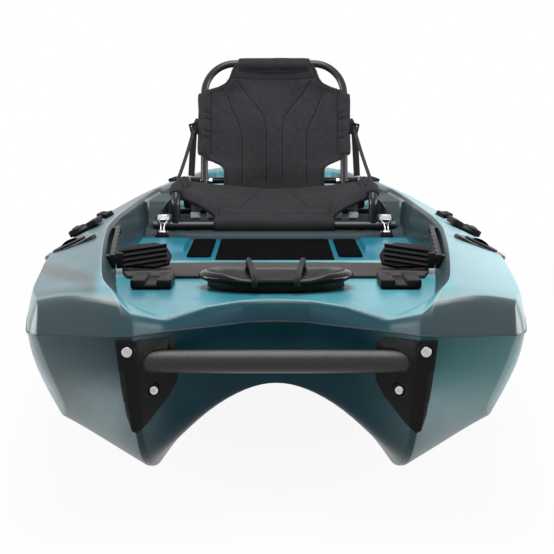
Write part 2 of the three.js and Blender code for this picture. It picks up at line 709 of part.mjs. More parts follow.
function rodHolder(tilt) {
  const cant = (part) => part.rotateX(tilt);
  const flange = prism(ellipse(ROD_FLANGE, ROD_FLANGE + 4), 0, 5);
  const outer = cant(cylinder(ROD_TUBE_OUTER, ROD_TUBE_DEPTH, 16).translate(0, 0, 4 - ROD_TUBE_DEPTH / 2));
  const trimmed = cut(outer, box(200, 200, 100).translate(0, 0, 54));
  const bore = cant(cylinder(ROD_TUBE_BORE, ROD_TUBE_DEPTH, 16).translate(0, 0, 12 - ROD_TUBE_DEPTH / 2));
  return cut(join(flange, trimmed), bore);
}

function rodClearance(tilt) {
  const pocket = prism(ellipse(ROD_FLANGE + FIT_GAP, ROD_FLANGE + 4 + FIT_GAP), -FIT_GAP, 40);
  const hole = cylinder(ROD_TUBE_OUTER + 1, ROD_TUBE_DEPTH + 40, 16).rotateX(tilt);
  return join(pocket, hole);
}

const frontRodSeat = deckSeat(710, 398, 45, -1.5);
const rearRodSeat = new THREE.Matrix4().setPosition(at(2445, 245, floorHeight(2445) - 1.5));
const ROD_TILT = THREE.MathUtils.degToRad(30);

function addRodHolders() {
  addPair('rod_holder_front', rodHolder(ROD_TILT).applyMatrix4(frontRodSeat), 'gloss');
  addPair('rod_holder_rear', rodHolder(-ROD_TILT).scale(0.84, 0.84, 1).applyMatrix4(rearRodSeat), 'gloss');
  const front = rodClearance(ROD_TILT).applyMatrix4(frontRodSeat);
  const rear = rodClearance(-ROD_TILT).scale(0.84, 0.84, 1).applyMatrix4(rearRodSeat);
  deckCuts.push(front, mirrored(front), rear, mirrored(rear));
  const disc = prism(ellipse(ROD_TUBE_BORE + 12, ROD_TUBE_BORE + 16), 5 + FIT_GAP, 9);
  const ear = box(16, 14, 3.7).translate(0, ROD_TUBE_BORE + 22, 7.15);
  addPair('rod_cap_front', join(disc, ear).applyMatrix4(frontRodSeat), 'plastic');
}

// Foot braces: a ribbed track on each inner wall, a sliding pedal and its release trigger

const trackStart = at(440, 282, 348);
const trackEnd = at(946, 333, 350);
const trackLine = trackEnd.clone().sub(trackStart);
const TRACK_LENGTH = trackLine.length();
const trackDirection = trackLine.clone().normalize();
const TRACK_NOTCHES = 8;
const PEDAL_PLACE = 30;
const PEDAL_LEAN = THREE.MathUtils.degToRad(38);
const SHOE = { inner: -18.6, outer: -6.6, length: 40, height: 26 };
const TRIGGER = { gap: 0.9, thickness: 5, pivot: 17, front: 14, back: 52 };

function trackFrame() {
  const across = trackDirection.clone().cross(new THREE.Vector3(0, 0, 1)).normalize();
  const up = across.clone().cross(trackDirection);
  return new THREE.Matrix4().makeBasis(across, trackDirection, up).setPosition(trackStart);
}

function footTrack() {
  const rail = box(10, TRACK_LENGTH, 24).translate(0, TRACK_LENGTH / 2, 0);
  const groove = box(6, TRACK_LENGTH - 16, 9).translate(-5, TRACK_LENGTH / 2, 0);
  const pitch = (TRACK_LENGTH - 60) / (TRACK_NOTCHES - 1);
  const notches = Array.from({ length: TRACK_NOTCHES }, (_, k) => box(6, 10, 7)
    .translate(-5, 30 + k * pitch, 10));
  const pad = (place) => box(16, 24, 18).translate(12, place, 0);
  return cut(join(rail, pad(20), pad(TRACK_LENGTH - 20)), groove, ...notches);
}

function footPedal() {
  const outline = [[-9, -14], [-72, -17.5], [-98, -11], [-103, 6], [-93, 25], [-74, 32], [-24, 27], [-9, 17]];
  const blade = prism(outline, -4, 4).rotateX(Math.PI / 2);
  const ribs = [-11, -1, 9, 19].map((z) => box(80, 6, 3).rotateY(0.16).translate(-55, -6, z));
  const leaning = join(blade, ...ribs).rotateX(-PEDAL_LEAN);
  const beside = box(200, 200, 200).translate(SHOE.outer + 100, 0, 0);
  const shoe = box(SHOE.outer - SHOE.inner, SHOE.length, SHOE.height)
    .translate((SHOE.outer + SHOE.inner) / 2, 0, 0);
  const tongue = box(5, 36, 7.6).translate(-5.6, 0, 0);
  return join(cut(leaning, beside), shoe, tongue);
}

function pedalTrigger() {
  const outer = SHOE.inner - TRIGGER.gap;
  const lever = box(TRIGGER.thickness, TRIGGER.back - TRIGGER.front, 14)
    .translate(outer - TRIGGER.thickness / 2, (TRIGGER.back + TRIGGER.front) / 2, 0);
  const thumb = box(4, 8, 14).translate(outer - TRIGGER.thickness, TRIGGER.back - 4, 0);
  return join(lever, thumb);
}

function addFootBraces() {
  const frame = trackFrame();
  const place = new THREE.Matrix4().makeTranslation(0, PEDAL_PLACE, 0).premultiply(frame);
  addPair('foot_track', fitToWall(footTrack().applyMatrix4(frame)), 'plastic');
  addPair('foot_pedal', footPedal().applyMatrix4(place), 'plastic');
  addPair('pedal_trigger', pedalTrigger().applyMatrix4(place), 'steel');
}

// Keeps only the part of a geometry that is clear of the deck wall.
function fitToWall(geometry) {
  return cut(geometry, deckWall);
}

const deckWall = shellGauge();

function shellGauge() {
  const skin = offsetGrid(fullGrid(deckRows()), FIT_GAP);
  const floor = skin.map((row) => row.map((point) => new THREE.Vector3(point.x, point.y, 100)));
  return closeGrids(skin, floor);
}

// Paddle keepers: an elastic loop along the gunwale with a round toggle

function addPaddleKeepers() {
  const lift = 9;
  const route = [[1100, 441, 15], [1135, 431, 5], [1180, 417, 0], [1225, 404, 0], [1272, 392, 0]]
    .map(([station, x, rise]) => {
      const point = deckPoint(station, x);
      return point.setZ(point.z + lift + rise);
    });
  const strap = tube(route, 5, 5);
  const toggle = new THREE.SphereGeometry(15, 7, 5).scale(1, 1.5, 0.75)
    .translate(route[0].x - 1, route[0].y - 2, route[0].z + 3);
  const clip = box(26, 34, 9).translate(route[3].x, route[3].y, route[3].z + 2);
  const ends = [route[0], route[4]].map((end) => cylinder(9, 30, 8).translate(end.x, end.y, end.z - 14));
  addPair('paddle_keeper', cut(join(strap, toggle, clip, ...ends), deckWall), 'plastic');
}

// Accessory tracks beside the seat

function addGearTracks() {
  const seat = deckSeat(2570, 338, 30, 2);
  const bar = box(26, 220, 11).translate(0, 0, 5.5);
  const slot = box(7, 230, 8).translate(0, 0, 10);
  const channel = box(16, 230, 5).translate(0, 0, 6.2);
  addPair('gear_track', cut(cut(bar, slot, channel).applyMatrix4(seat), deckWall), 'plastic');
}

// Seat frame: two cross bars, two bent side frames and a rear cross tube

function seatBar(station) {
  const bar = alongX(SEAT_TUBE, -SEAT_BAR_HALF_LENGTH, SEAT_BAR_HALF_LENGTH, station, SEAT_BAR_HEIGHT, 16);
  const caps = [1, -1].map((side) => alongX(SEAT_TUBE + 2, side * (SEAT_BAR_HALF_LENGTH - 20),
    side * SEAT_BAR_HALF_LENGTH, station, SEAT_BAR_HEIGHT, 16));
  const shelf = box(900, 80, 60).translate(0, lengthwise(station), SHELF_HEIGHT - 30 + FIT_GAP);
  return cut(join(bar, ...caps), shelf);
}

function grownBar(station) {
  return alongX(SEAT_TUBE + FIT_GAP, -400, 400, station, SEAT_BAR_HEIGHT, 24);
}

const sideRoute = rounded([at(SEAT_FRONT, RAIL_OFFSET, SEAT_BAR_HEIGHT),
  at(SEAT_FRONT, RAIL_OFFSET, RAIL_HEIGHT), at(SEAT_REAR, RAIL_OFFSET, RAIL_HEIGHT),
  at(SEAT_REAR, RAIL_OFFSET, SEAT_BAR_HEIGHT)], RAIL_BEND, 3);
const PIVOT_BOLT = 5;

function addSeatFrame() {
  add('seat_front_bar', seatBar(SEAT_FRONT), 'tube');
  add('seat_rear_bar', seatBar(SEAT_REAR), 'tube');
  const pivotHole = alongX(PIVOT_BOLT + FIT_GAP, 180, 300, HOOP_PIVOT, RAIL_HEIGHT, 12);
  const side = cut(tube(sideRoute, SEAT_TUBE, 12), grownBar(SEAT_FRONT), grownBar(SEAT_REAR), pivotHole);
  addPair('seat_side_frame', side, 'tube');
  const cross = alongX(10, -RAIL_OFFSET, RAIL_OFFSET, SEAT_REAR - 18, RAIL_HEIGHT - 2, 12);
  const grown = tube(sideRoute, SEAT_TUBE + 0.6, 16);
  add('seat_cross_tube', cut(cross, grown, mirrored(grown)), 'tube');
}

// Backrest: bent hoop on two pivot bolts, with the fabric sling drawn over it

function onHoop(x, rise, back = 0) {
  return at(HOOP_PIVOT + rise * Math.sin(HOOP_LEAN) + back * Math.cos(HOOP_LEAN), x,
    RAIL_HEIGHT + rise * Math.cos(HOOP_LEAN) - back * Math.sin(HOOP_LEAN));
}

const hoopRoute = rounded([onHoop(-HOOP_OFFSET, -14), onHoop(-HOOP_OFFSET, HOOP_RISE),
  onHoop(HOOP_OFFSET, HOOP_RISE), onHoop(HOOP_OFFSET, -14)], HOOP_CORNER, 5);

function backrestSling() {
  const halfWidth = curve([[-24, 150], [34, 151], [48, 166], [60, 196], [76, 230], [260, 232], [276, 212],
    [290, 192], [304, 150], [338, 126], [362, 106]]);
  const rises = [-24, 34, 48, 60, 76, 130, 190, 260, 276, 290, 304, 338, 362];
  const sides = [-1, -0.86, -0.48, 0, 0.48, 0.86, 1];
  const grid = rises.map((rise) => sides.map((side) => {
    const lumbar = 16 * Math.sin(Math.PI * THREE.MathUtils.clamp(rise / 300, 0, 1));
    const sag = 26 * (1 - side * side) - lumbar * (1 - Math.abs(side));
    return onHoop(side * halfWidth(rise), rise, sag - 4);
  }));
  const body = slab(grid, 9);
  const pocket = (side) => tube([onHoop(side * HOOP_OFFSET, 82), onHoop(side * HOOP_OFFSET, 258)], 16, 8);
  const header = tube([onHoop(-104, HOOP_RISE), onHoop(104, HOOP_RISE)], 14.5, 8);
  return cut(join(body, pocket(1), pocket(-1), header), tube(hoopRoute, HOOP_TUBE + 0.6, 12));
}

function addBackrest() {
  const bolt = (grow) => alongX(PIVOT_BOLT + grow, 186, 283, HOOP_PIVOT, RAIL_HEIGHT, 12);
  const hole = bolt(FIT_GAP);
  add('backrest_hoop', cut(tube(hoopRoute, HOOP_TUBE, 12), hole, mirrored(hole)), 'tube');
  add('backrest_sling', backrestSling(), 'fabric');
  const heads = [[186, 196], [279, 286]].map(([from, to]) => alongX(9, from, to, HOOP_PIVOT, RAIL_HEIGHT, 6));
  addPair('backrest_pivot_bolt', join(bolt(0), ...heads), 'steel');
  const [spacerStart, spacerEnd] = [HOOP_OFFSET + HOOP_TUBE + 1, RAIL_OFFSET - SEAT_TUBE - 1];
  const sleeve = alongX(9, spacerStart, spacerEnd, HOOP_PIVOT, RAIL_HEIGHT, 14);
  const sleeveBore = alongX(PIVOT_BOLT + FIT_GAP, 100, 400, HOOP_PIVOT, RAIL_HEIGHT, 12);
  addPair('backrest_spacer', cut(sleeve, sleeveBore), 'plastic');
  const strapTop = onHoop(244, 158, -4);
  const strapFoot = at(SEAT_FRONT + 56, 276, RAIL_HEIGHT + 27);
  const strapLine = strapFoot.clone().sub(strapTop);
  const strap = box(3, 25, strapLine.length());
  const buckle = box(8, 32, 34).translate(0, 0, -strapLine.length() / 2 + 30);
  const upright = new THREE.Vector3(0, 0, 1);
  const turn = new THREE.Quaternion().setFromUnitVectors(upright, strapLine.clone().normalize());
  const whole = join(strap, buckle).applyQuaternion(turn);
  const middle = strapTop.clone().add(strapFoot).multiplyScalar(0.5);
  addPair('recline_strap', whole.translate(middle.x, middle.y, middle.z), 'fabric');
}

// Seat pan: a fabric sling between the side frames that wraps the front bar

function seatPan() {
  const stations = [1630, 1650, 1690, 1740, 1810, 1890, 1950, 1985];
  const sides = [-1, -0.86, -0.72, -0.56, -0.3, 0, 0.3, 0.56, 0.72, 0.86, 1];
  const centre = curve([[1630, 307], [1660, 319], [1700, 327], [1850, 345], [1985, 366]]);
  const grid = stations.map((station) => sides.map((side) => {
    const share = Math.abs(side);
    const frontness = THREE.MathUtils.clamp((1800 - station) / 160, 0, 1);
    const wide = share * share;
    const tight = THREE.MathUtils.smoothstep(share, 0.58, 1);
    const edge = station < 1690 ? RAIL_HEIGHT - 22 : RAIL_HEIGHT;
    return at(station, side * RAIL_OFFSET, mix(centre(station), edge, mix(wide, tight, frontness)));
  }));
  const rail = (side) => tube([at(1684, side * RAIL_OFFSET, RAIL_HEIGHT),
    at(1985, side * RAIL_OFFSET, RAIL_HEIGHT)], SEAT_TUBE + 4.5, 10);
  const roll = alongX(SEAT_TUBE + 5, -162, 162, SEAT_FRONT, SEAT_BAR_HEIGHT, 20);
  const bar = alongX(SEAT_TUBE + 0.5, -400, 400, SEAT_FRONT, SEAT_BAR_HEIGHT, 24);
  const grown = tube(sideRoute, SEAT_TUBE + 0.8, 14);
  const shelf = box(900, 120, 60).translate(0, lengthwise(SEAT_FRONT), SHELF_HEIGHT - 30 + FIT_GAP);
  return cut(join(slab(grid, 8), rail(1), rail(-1), roll), bar, grown, mirrored(grown), shelf);
}

// Over-centre latches that hold the front bar down

const LATCH_PLACE = 297;
const LATCH_PIN = { station: 1574, z: 281 };
const LATCH_FOOT = 269.4;

function addLatches() {
  const foot = box(34, 26, 5).translate(LATCH_PLACE, lengthwise(LATCH_PIN.station), LATCH_FOOT + 2.5);
  const cheeks = [-12, 12].map((x) => box(4, 15, 17)
    .translate(LATCH_PLACE + x, lengthwise(LATCH_PIN.station), LATCH_FOOT + 8.5));
  const pin = alongX(2.5, LATCH_PLACE - 15, LATCH_PLACE + 15, LATCH_PIN.station, LATCH_PIN.z, 10);
  const pinHole = alongX(2.5 + FIT_GAP, 0, 400, LATCH_PIN.station, LATCH_PIN.z, 10);
  addPair('seat_latch_base', cut(join(foot, ...cheeks), pinHole, deckWall), 'plastic');
  const place = (x, station, z) => at(LATCH_PIN.station + station, LATCH_PLACE + x, LATCH_PIN.z + z);
  const legs = [1, -1].map((side) => tube([place(side * 4, 0, 0), place(side * 4, 8, 8),
    place(side * 5, 22, 19), place(side * 14, 40, 29), place(side * 14, 55, 29.5)], 2.2, 5));
  const hub = alongX(4.5, LATCH_PLACE - 9, LATCH_PLACE + 9, LATCH_PIN.station, LATCH_PIN.z, 8);
  const barTop = SEAT_BAR_HEIGHT + SEAT_TUBE;
  const plate = box(34, 26, 3).rotateX(0.5).translate(LATCH_PLACE, lengthwise(SEAT_FRONT + 4), barTop + 8.5);
  const lip = box(34, 3, 9).translate(LATCH_PLACE, lengthwise(SEAT_FRONT + 15), barTop + 11);
  const hook = cut(join(plate, lip), grownBar(SEAT_FRONT));
  addPair('seat_latch', join(hook, hub, pin, ...legs), 'steel');
}

// Stern carry handle and drain plug

function addSternFittings() {
  const base = deckPoint(3380, 0).z;
  const route = rounded([at(3380, -72, base - 3), at(3380, -72, base + 42), at(3380, 72, base + 42),
    at(3380, 72, base - 3)], 24, 4);
  const feet = [-72, 72].map((x) => box(34, 44, 10).translate(x, lengthwise(3380), base + 3));
  add('stern_handle', cut(join(tube(route, 10, 8), ...feet), deckWall), 'plastic');
  const plugTop = deckPoint(3290, 0).z;
  const cap = cylinder(17, 8, 20).translate(0, 0, 5);
  const shank = cylinder(11, 22, 16).translate(0, 0, -8);
  const grip = box(28, 5, 7).translate(0, 0, 11);
  const place = at(3290, 0, plugTop + 2.2);
  add('drain_plug', join(cap, shank, grip).translate(place.x, place.y, place.z), 'plastic');
  deckCuts.push(cylinder(11 + FIT_GAP, 60, 16).translate(place.x, place.y, plugTop));
  deckCuts.push(cylinder(17 + FIT_GAP, 40, 20).translate(place.x, place.y, place.z + 21 - FIT_GAP));
}

// Scuppers drain the footwell and tank well straight through the hull

const scuppers = [[1500, 196], [2200, 196], [2640, 130]];
const SCUPPER_BORE = 14;
const SCUPPER_WALL = 3;

function scupperTubes() {
  return scuppers.flatMap(([station, x]) => [1, -1].map((side) => {
    const top = floorHeight(station) - 2;
    return cylinder(SCUPPER_BORE + SCUPPER_WALL, top, 10).translate(side * x, lengthwise(station), top / 2);
  }));
}

function scupperBores(radius) {
  return scuppers.flatMap(([station, x]) => [1, -1].map((side) => cylinder(radius, 800, 10)
    .translate(side * x, lengthwise(station), 200)));
}

addBowHandle();
addHatch();
addMats();
addBlocks();
addRodHolders();
addFootBraces();
addPaddleKeepers();
addGearTracks();
addSeatFrame();
addBackrest();
add('seat_pan', seatPan(), 'fabric');
addLatches();
addSternFittings();

const bottomSkin = shell(bottomRows(), 1, SEAM_HEIGHT - SEAM_GAP / 2);
const tubeClearance = scupperBores(SCUPPER_BORE + SCUPPER_WALL + FIT_GAP);
add('hull_bottom', cut(bottomSkin, ...bottomCuts, ...tubeClearance), 'hull');
const trimmedTubes = scupperTubes().map((part) => common(part, bottomGauge(-1)));
add('deck', cut(join(deckShell, ...trimmedTubes), ...deckCuts, ...scupperBores(SCUPPER_BORE)), 'deck');

export default kayak;
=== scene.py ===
# %% [markdown]
# # A sit-on-top fishing kayak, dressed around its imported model
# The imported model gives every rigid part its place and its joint. This lesson keeps those places, makes the
# moulded hull smooth, sews the fabric seat, and gives each surface the finish that the real boat has.
# Everything is in metres: +Z is up, the bow points towards -Y and the port side towards +X.

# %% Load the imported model
import json
import math

import bmesh
import bpy
import numpy as np
from mathutils import Matrix, Vector, noise
from mathutils.bvhtree import BVHTree


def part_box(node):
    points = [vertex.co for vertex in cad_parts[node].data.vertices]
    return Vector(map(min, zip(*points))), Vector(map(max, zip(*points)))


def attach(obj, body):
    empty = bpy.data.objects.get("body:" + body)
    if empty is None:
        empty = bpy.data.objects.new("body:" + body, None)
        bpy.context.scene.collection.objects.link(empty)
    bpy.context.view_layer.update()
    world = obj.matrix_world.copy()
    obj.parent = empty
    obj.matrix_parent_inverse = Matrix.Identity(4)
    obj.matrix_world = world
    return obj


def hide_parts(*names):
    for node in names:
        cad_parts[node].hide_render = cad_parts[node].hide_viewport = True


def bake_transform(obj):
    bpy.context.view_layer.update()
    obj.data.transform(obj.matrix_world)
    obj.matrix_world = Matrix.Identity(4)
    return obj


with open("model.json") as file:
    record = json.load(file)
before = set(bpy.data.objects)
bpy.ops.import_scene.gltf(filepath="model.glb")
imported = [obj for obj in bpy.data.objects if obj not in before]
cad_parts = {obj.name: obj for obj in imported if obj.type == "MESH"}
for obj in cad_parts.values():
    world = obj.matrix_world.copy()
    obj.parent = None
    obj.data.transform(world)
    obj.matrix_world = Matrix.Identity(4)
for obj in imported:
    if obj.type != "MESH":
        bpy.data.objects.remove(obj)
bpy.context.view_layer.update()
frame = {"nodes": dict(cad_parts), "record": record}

# %% [markdown]
# ## Camera
# The photograph looks at the bow from a little above, with a fairly long lens. Where the two sides of the boat
# run together gave the distance, and the height of the horizon gave the tilt.

# %% Camera
PHOTO_SIZE = 554
FOCAL_PIXELS = 1235.3
SENSOR = 36.0
BOW_TO_MIDDLE = 1.75105
CAMERA_TO_BOW = 1.67679
CAMERA_HEIGHT = 0.621
CAMERA_SIDE = -0.0058
CAMERA_PLACE = Vector((CAMERA_SIDE, -CAMERA_TO_BOW - BOW_TO_MIDDLE, CAMERA_HEIGHT))
CAMERA_TILT = math.radians(8.053)
CAMERA_TURN = math.radians(-0.218)

camera_data = bpy.data.cameras.new("camera")
camera_data.sensor_width = SENSOR
camera_data.lens = FOCAL_PIXELS / PHOTO_SIZE * SENSOR
camera = bpy.data.objects.new("camera", camera_data)
camera.location = CAMERA_PLACE
camera.rotation_euler = (math.pi / 2 - CAMERA_TILT, 0, CAMERA_TURN)
bpy.context.scene.collection.objects.link(camera)
bpy.context.scene.camera = camera
print("camera", round(camera_data.lens, 2), "mm lens")

# %% [markdown]
# ## Writing materials as sums
# A finish is a small tree of nodes. The class below wraps one socket, so that a sum on it adds the Math nodes,
# and `Finish` starts a Principled shader, adds any other node and feeds the few sockets that vary.

# %% Node helpers


def operator_for(operation, reflected=False):
    """A method that adds the Math node of one Python operator."""
    def method(self, other):
        return self.math(operation, *((other, self) if reflected else (self, other)))
    return method


class Signal:
    """One output socket of a node tree that can be used in sums."""

    def __init__(self, tree, socket):
        self.tree = tree
        self.socket = socket

    def math(self, operation, *others, clamp=False):
        node = self.tree.nodes.new("ShaderNodeMath")
        node.operation = operation
        node.use_clamp = clamp
        for slot, part in zip(node.inputs, others):
            plug(self.tree, slot, part)
        return Signal(self.tree, node.outputs[0])

    __add__ = operator_for("ADD")
    __radd__ = operator_for("ADD", reflected=True)
    __sub__ = operator_for("SUBTRACT")
    __rsub__ = operator_for("SUBTRACT", reflected=True)
    __mul__ = operator_for("MULTIPLY")
    __rmul__ = operator_for("MULTIPLY", reflected=True)
    __truediv__ = operator_for("DIVIDE")
    __pow__ = operator_for("POWER")

    def __neg__(self):
        return self.math("MULTIPLY", self, -1.0)

    def __abs__(self):
        return self.math("ABSOLUTE", self)

    def clamp(self):
        return self.math("ADD", self, 0.0, clamp=True)

    def sine(self):
        return self.math("SINE", self)

    def fraction(self):
        return self.math("FRACT", self)

    def least(self, other):
        return self.math("MINIMUM", self, other)

    def most(self, other):
        return self.math("MAXIMUM", self, other)

    def step(self, low, high):
        """0 below low, 1 above high and a smooth rise between them; it falls where high is the smaller."""
        share = ((self - low) * (1.0 / (high - low))).clamp()
        return share * share * (3.0 - 2.0 * share)


def plug(tree, socket, value):
    if isinstance(value, Signal):
        tree.links.new(value.socket, socket)
    else:
        socket.default_value = value


def srgb(red, green, blue):
    """A colour as it is read off a screen, 0 to 255, made linear."""
    linear = [((c / 255 + 0.055) / 1.055) ** 2.4 if c > 10 else c / 255 / 12.92 for c in (red, green, blue)]
    return (*linear, 1.0)


class Finish:
    """A Principled material with helpers for its node tree."""

    def __init__(self, name, color, **constants):
        self.material = bpy.data.materials.new(name)
        self.material.use_nodes = True
        self.tree = self.material.node_tree
        self.shader = self.tree.nodes["Principled BSDF"]
        self.shader.inputs["Base Color"].default_value = color
        for socket, value in constants.items():
            self.shader.inputs[socket.replace("_", " ")].default_value = value
        self.object_place = self.node("ShaderNodeTexCoord", out="Object")

    def node(self, kind, inputs=None, out=0, **settings):
        node = self.tree.nodes.new(kind)
        for key, value in settings.items():
            setattr(node, key, value)
        for key, value in (inputs or {}).items():
            plug(self.tree, node.inputs[key], value)
        return Signal(self.tree, node.outputs[out])

    def axes(self, place=None):
        node = self.tree.nodes.new("ShaderNodeSeparateXYZ")
        plug(self.tree, node.inputs[0], place or self.object_place)
        return [Signal(self.tree, socket) for socket in node.outputs]

    def stretched(self, x, y, z):
        return self.node("ShaderNodeVectorMath", {0: self.object_place, 1: (x, y, z)}, operation="MULTIPLY")

    def noise(self, scale, detail=3.0, roughness=0.5, place=None, distortion=0.0):
        return self.node("ShaderNodeTexNoise", {
            "Vector": place or self.object_place, "Scale": scale, "Detail": detail,
            "Roughness": roughness, "Distortion": distortion})

    def mix(self, factor, first, second):
        node = self.tree.nodes.new("ShaderNodeMix")
        node.data_type = "RGBA"
        plug(self.tree, node.inputs["Factor"], factor)
        plug(self.tree, node.inputs[6], first)
        plug(self.tree, node.inputs[7], second)
        return Signal(self.tree, node.outputs[2])

    def normal(self):
        geometry = self.tree.nodes.new("ShaderNodeNewGeometry")
        return self.axes(Signal(self.tree, geometry.outputs["Normal"]))

    def feed(self, **sockets):
        for socket, value in sockets.items():
            plug(self.tree, self.shader.inputs[socket.replace("_", " ")], value)
        return self

    def bump(self, height, distance, strength=1.0):
        bump = self.node("ShaderNodeBump", {"Height": height, "Distance": distance, "Strength": strength})
        plug(self.tree, self.shader.inputs["Normal"], bump)
        return self


# %% [markdown]
# ## Mesh helpers
# Most pieces go through the same few steps: put a grid of points into a mesh, give it a modifier and apply it,
# and shade it smooth apart from its sharp edges. They are written once here.

# %% Mesh helpers


def deselect():
    for item in bpy.context.selected_objects:
        item.select_set(False)


def activate(piece):
    deselect()
    bpy.context.view_layer.objects.active = piece
    piece.select_set(True)
    return piece


def piece_from(name, points, faces):
    mesh = bpy.data.meshes.new(name)
    mesh.from_pydata([tuple(p) for p in points], [], faces)
    mesh.validate()
    piece = bpy.data.objects.new(name, mesh)
    bpy.context.scene.collection.objects.link(piece)
    return activate(piece)


def grid_faces(rows, columns, closed=False):
    """Quads between rows of points; closed joins the last column to the first."""
    wide = columns if closed else columns - 1
    return [(r * columns + c, r * columns + (c + 1) % columns,
             (r + 1) * columns + (c + 1) % columns, (r + 1) * columns + c)
            for r in range(rows - 1) for c in range(wide)]


def apply(piece, kind, **settings):
    activate(piece)
    modifier = piece.modifiers.new(kind.lower(), kind)
    for key, value in settings.items():
        setattr(modifier, key, value)
    bpy.ops.object.modifier_apply(modifier=modifier.name)
    return piece


def smooth(piece, angle=30):
    activate(piece)
    bpy.ops.object.shade_smooth_by_angle(angle=math.radians(angle))
    return piece


def outwards(piece):
    activate(piece)
    bpy.ops.object.mode_set(mode="EDIT")
    bpy.ops.mesh.select_all(action="SELECT")
    bpy.ops.mesh.remove_doubles(threshold=1e-6)
    bpy.ops.mesh.normals_make_consistent(inside=False)
    bpy.ops.object.mode_set(mode="OBJECT")
    return piece


def finish_piece(piece, finish, body, slot, *nodes, angle=30):
    """Material, shading, body (None for a piece that bends), slot (not used) and the CAD nodes that it stands for."""
    piece.data.materials.clear()
    piece.data.materials.append(finish.material)
    smooth(piece, angle)
    if body:
        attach(piece, body)
    if nodes:
        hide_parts(*nodes)
    return piece


def at(station, x, z):
    """A point from its distance behind the bow, its offset and its height, all in millimetres."""
    return Vector((x, station - BOW_TO_MIDDLE * 1000, z)) / 1000


def monotone(places, values, wanted):
    """Smooth curve through (places, values) that never overshoots them, read at the wanted places."""
    places, values = np.asarray(places, float), np.asarray(values, float)
    steps = np.diff(places)
    slopes = np.diff(values, axis=0) / steps.reshape(-1, *[1] * (values.ndim - 1))
    tangents = np.zeros_like(values)
    tangents[0], tangents[-1] = slopes[0], slopes[-1]
    product = slopes[:-1] * slopes[1:]
    total = slopes[:-1] + slopes[1:]
    tangents[1:-1] = np.where(product > 0, 2 * product / np.where(product > 0, total, 1), 0)
    wanted = np.clip(np.asarray(wanted, float), places[0], places[-1])
    i = np.clip(np.searchsorted(places, wanted, side="right") - 1, 0, len(places) - 2)
    shape = (-1, *[1] * (values.ndim - 1))
    step = steps[i].reshape(shape)
    t = ((wanted - places[i]) / steps[i]).reshape(shape)
    h = t * t * (3 - 2 * t)
    rise = t * (1 - t) ** 2 * step * tangents[i]
    fall = t * t * (1 - t) * step * tangents[i + 1]
    return values[i] + (values[i + 1] - values[i]) * h + rise - fall


def curve(pairs):
    places, values = zip(*pairs)
    return lambda place: float(monotone(places, values, [place])[0])


# %% [markdown]
# ## Hull and deck
# The real hull is rotomoulded: one skin with rounded edges, a thin seam where the halves of the mould met, and
# broad facets that run into two keels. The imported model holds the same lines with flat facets. Here the same
# lines plan is filled in with more sections, each corner gets a rounding of its own, and a Subdivision Surface
# makes the skin smooth, which keeps the facets flat and the edges soft as in a real mould.

# %% Lines plan in millimetres
SEAM_HEIGHT = 300
KEEL_OFFSET = 207
KEEL_FLAT = 8
STERN_HALF_WIDTH = 190
STERN_END = 3505
STERN_ROUNDING = 27
SHELF_HEIGHT = 279.5

seam_width = curve([(40, 352), (64, 357), (100, 364), (150, 373), (240, 387), (300, 396), (520, 426), (710, 448),
                    (980, 457), (1600, 457), (1800, 452), (2000, 440), (2300, 412), (2600, 378), (2900, 336),
                    (3200, 280), (3430, 217)])
chine_width = curve([(205, 334), (255, 346), (320, 353), (500, 375), (800, 397), (1200, 407), (2000, 398),
                     (2500, 352), (3000, 272), (3430, 190)])
chine_height = curve([(205, 138), (255, 126), (320, 121), (500, 104), (800, 86), (1200, 76), (2000, 74),
                      (2500, 82), (3000, 98), (3430, 130)])
keel_height = curve([(60, 104), (130, 76), (200, 57), (300, 38), (450, 18), (600, 6), (800, 0), (2800, 0),
                     (3100, 8), (3300, 26), (3430, 52)])
keel_place = curve([(200, 189), (500, 198), (800, KEEL_OFFSET), (2400, KEEL_OFFSET), (3000, 182), (3430, 140)])
tunnel_height = curve([(137, 207), (300, 190), (600, 165), (1000, 132), (1500, 112), (2200, 112), (2800, 130),
                       (3200, 150), (3430, 168)])
gunwale_inset = curve([(150, 9), (700, 14), (3000, 14), (3430, 12)])
gunwale_height = curve([(150, 345), (400, 338), (710, 331), (1200, 326), (1800, 330), (2400, 342), (3000, 351),
                        (3430, 354)])
rim_width = curve([(130, 254), (167, 262), (330, 286), (585, 318), (1040, 357), (1640, 366), (2000, 358),
                   (2300, 336), (2600, 303), (2900, 266), (3130, 236), (3300, 210), (3430, 168)])
rim_height = curve([(130, 358), (585, 366), (1040, 366), (1640, 361), (2300, 361), (3100, 366), (3200, 362),
                    (3430, 358)])
floor_height = curve([(150, 322), (370, 324), (500, 325), (612, 326), (650, 328), (664, 300), (684, 247),
                      (900, 248), (1150, 252), (1335, 256), (1385, 257), (1570, 262), (1586, 264),
                      (1600, SHELF_HEIGHT), (2345, SHELF_HEIGHT), (2372, 335), (2395, 352), (2495, 352),
                      (2520, 330), (2548, 262), (2800, 256), (3090, 258), (3120, 330), (3150, 356), (3300, 360),
                      (3430, 360)])
ledge_height = curve([(1335, 256), (1385, 268), (1586, 269), (1600, SHELF_HEIGHT), (1612, 289), (1690, 290),
                      (1706, 350), (2060, 350), (2078, 290), (2150, 288), (2200, SHELF_HEIGHT)])
ledge_edge = curve([(150, 180), (250, 200), (612, 226), (1586, 226), (1612, 336), (1690, 336), (1706, 294),
                    (2060, 294), (2078, 336), (2150, 336), (2200, 226), (2400, 226), (2548, 205), (3090, 165),
                    (3430, 105)])
wall_run = curve([(130, 22), (250, 16), (2400, 14), (3090, 14), (3150, 4)])


def stern_station(x):
    return STERN_END - STERN_ROUNDING * (x / STERN_HALF_WIDTH) ** 2


def blend(first, second, share):
    return first + (second - first) * share


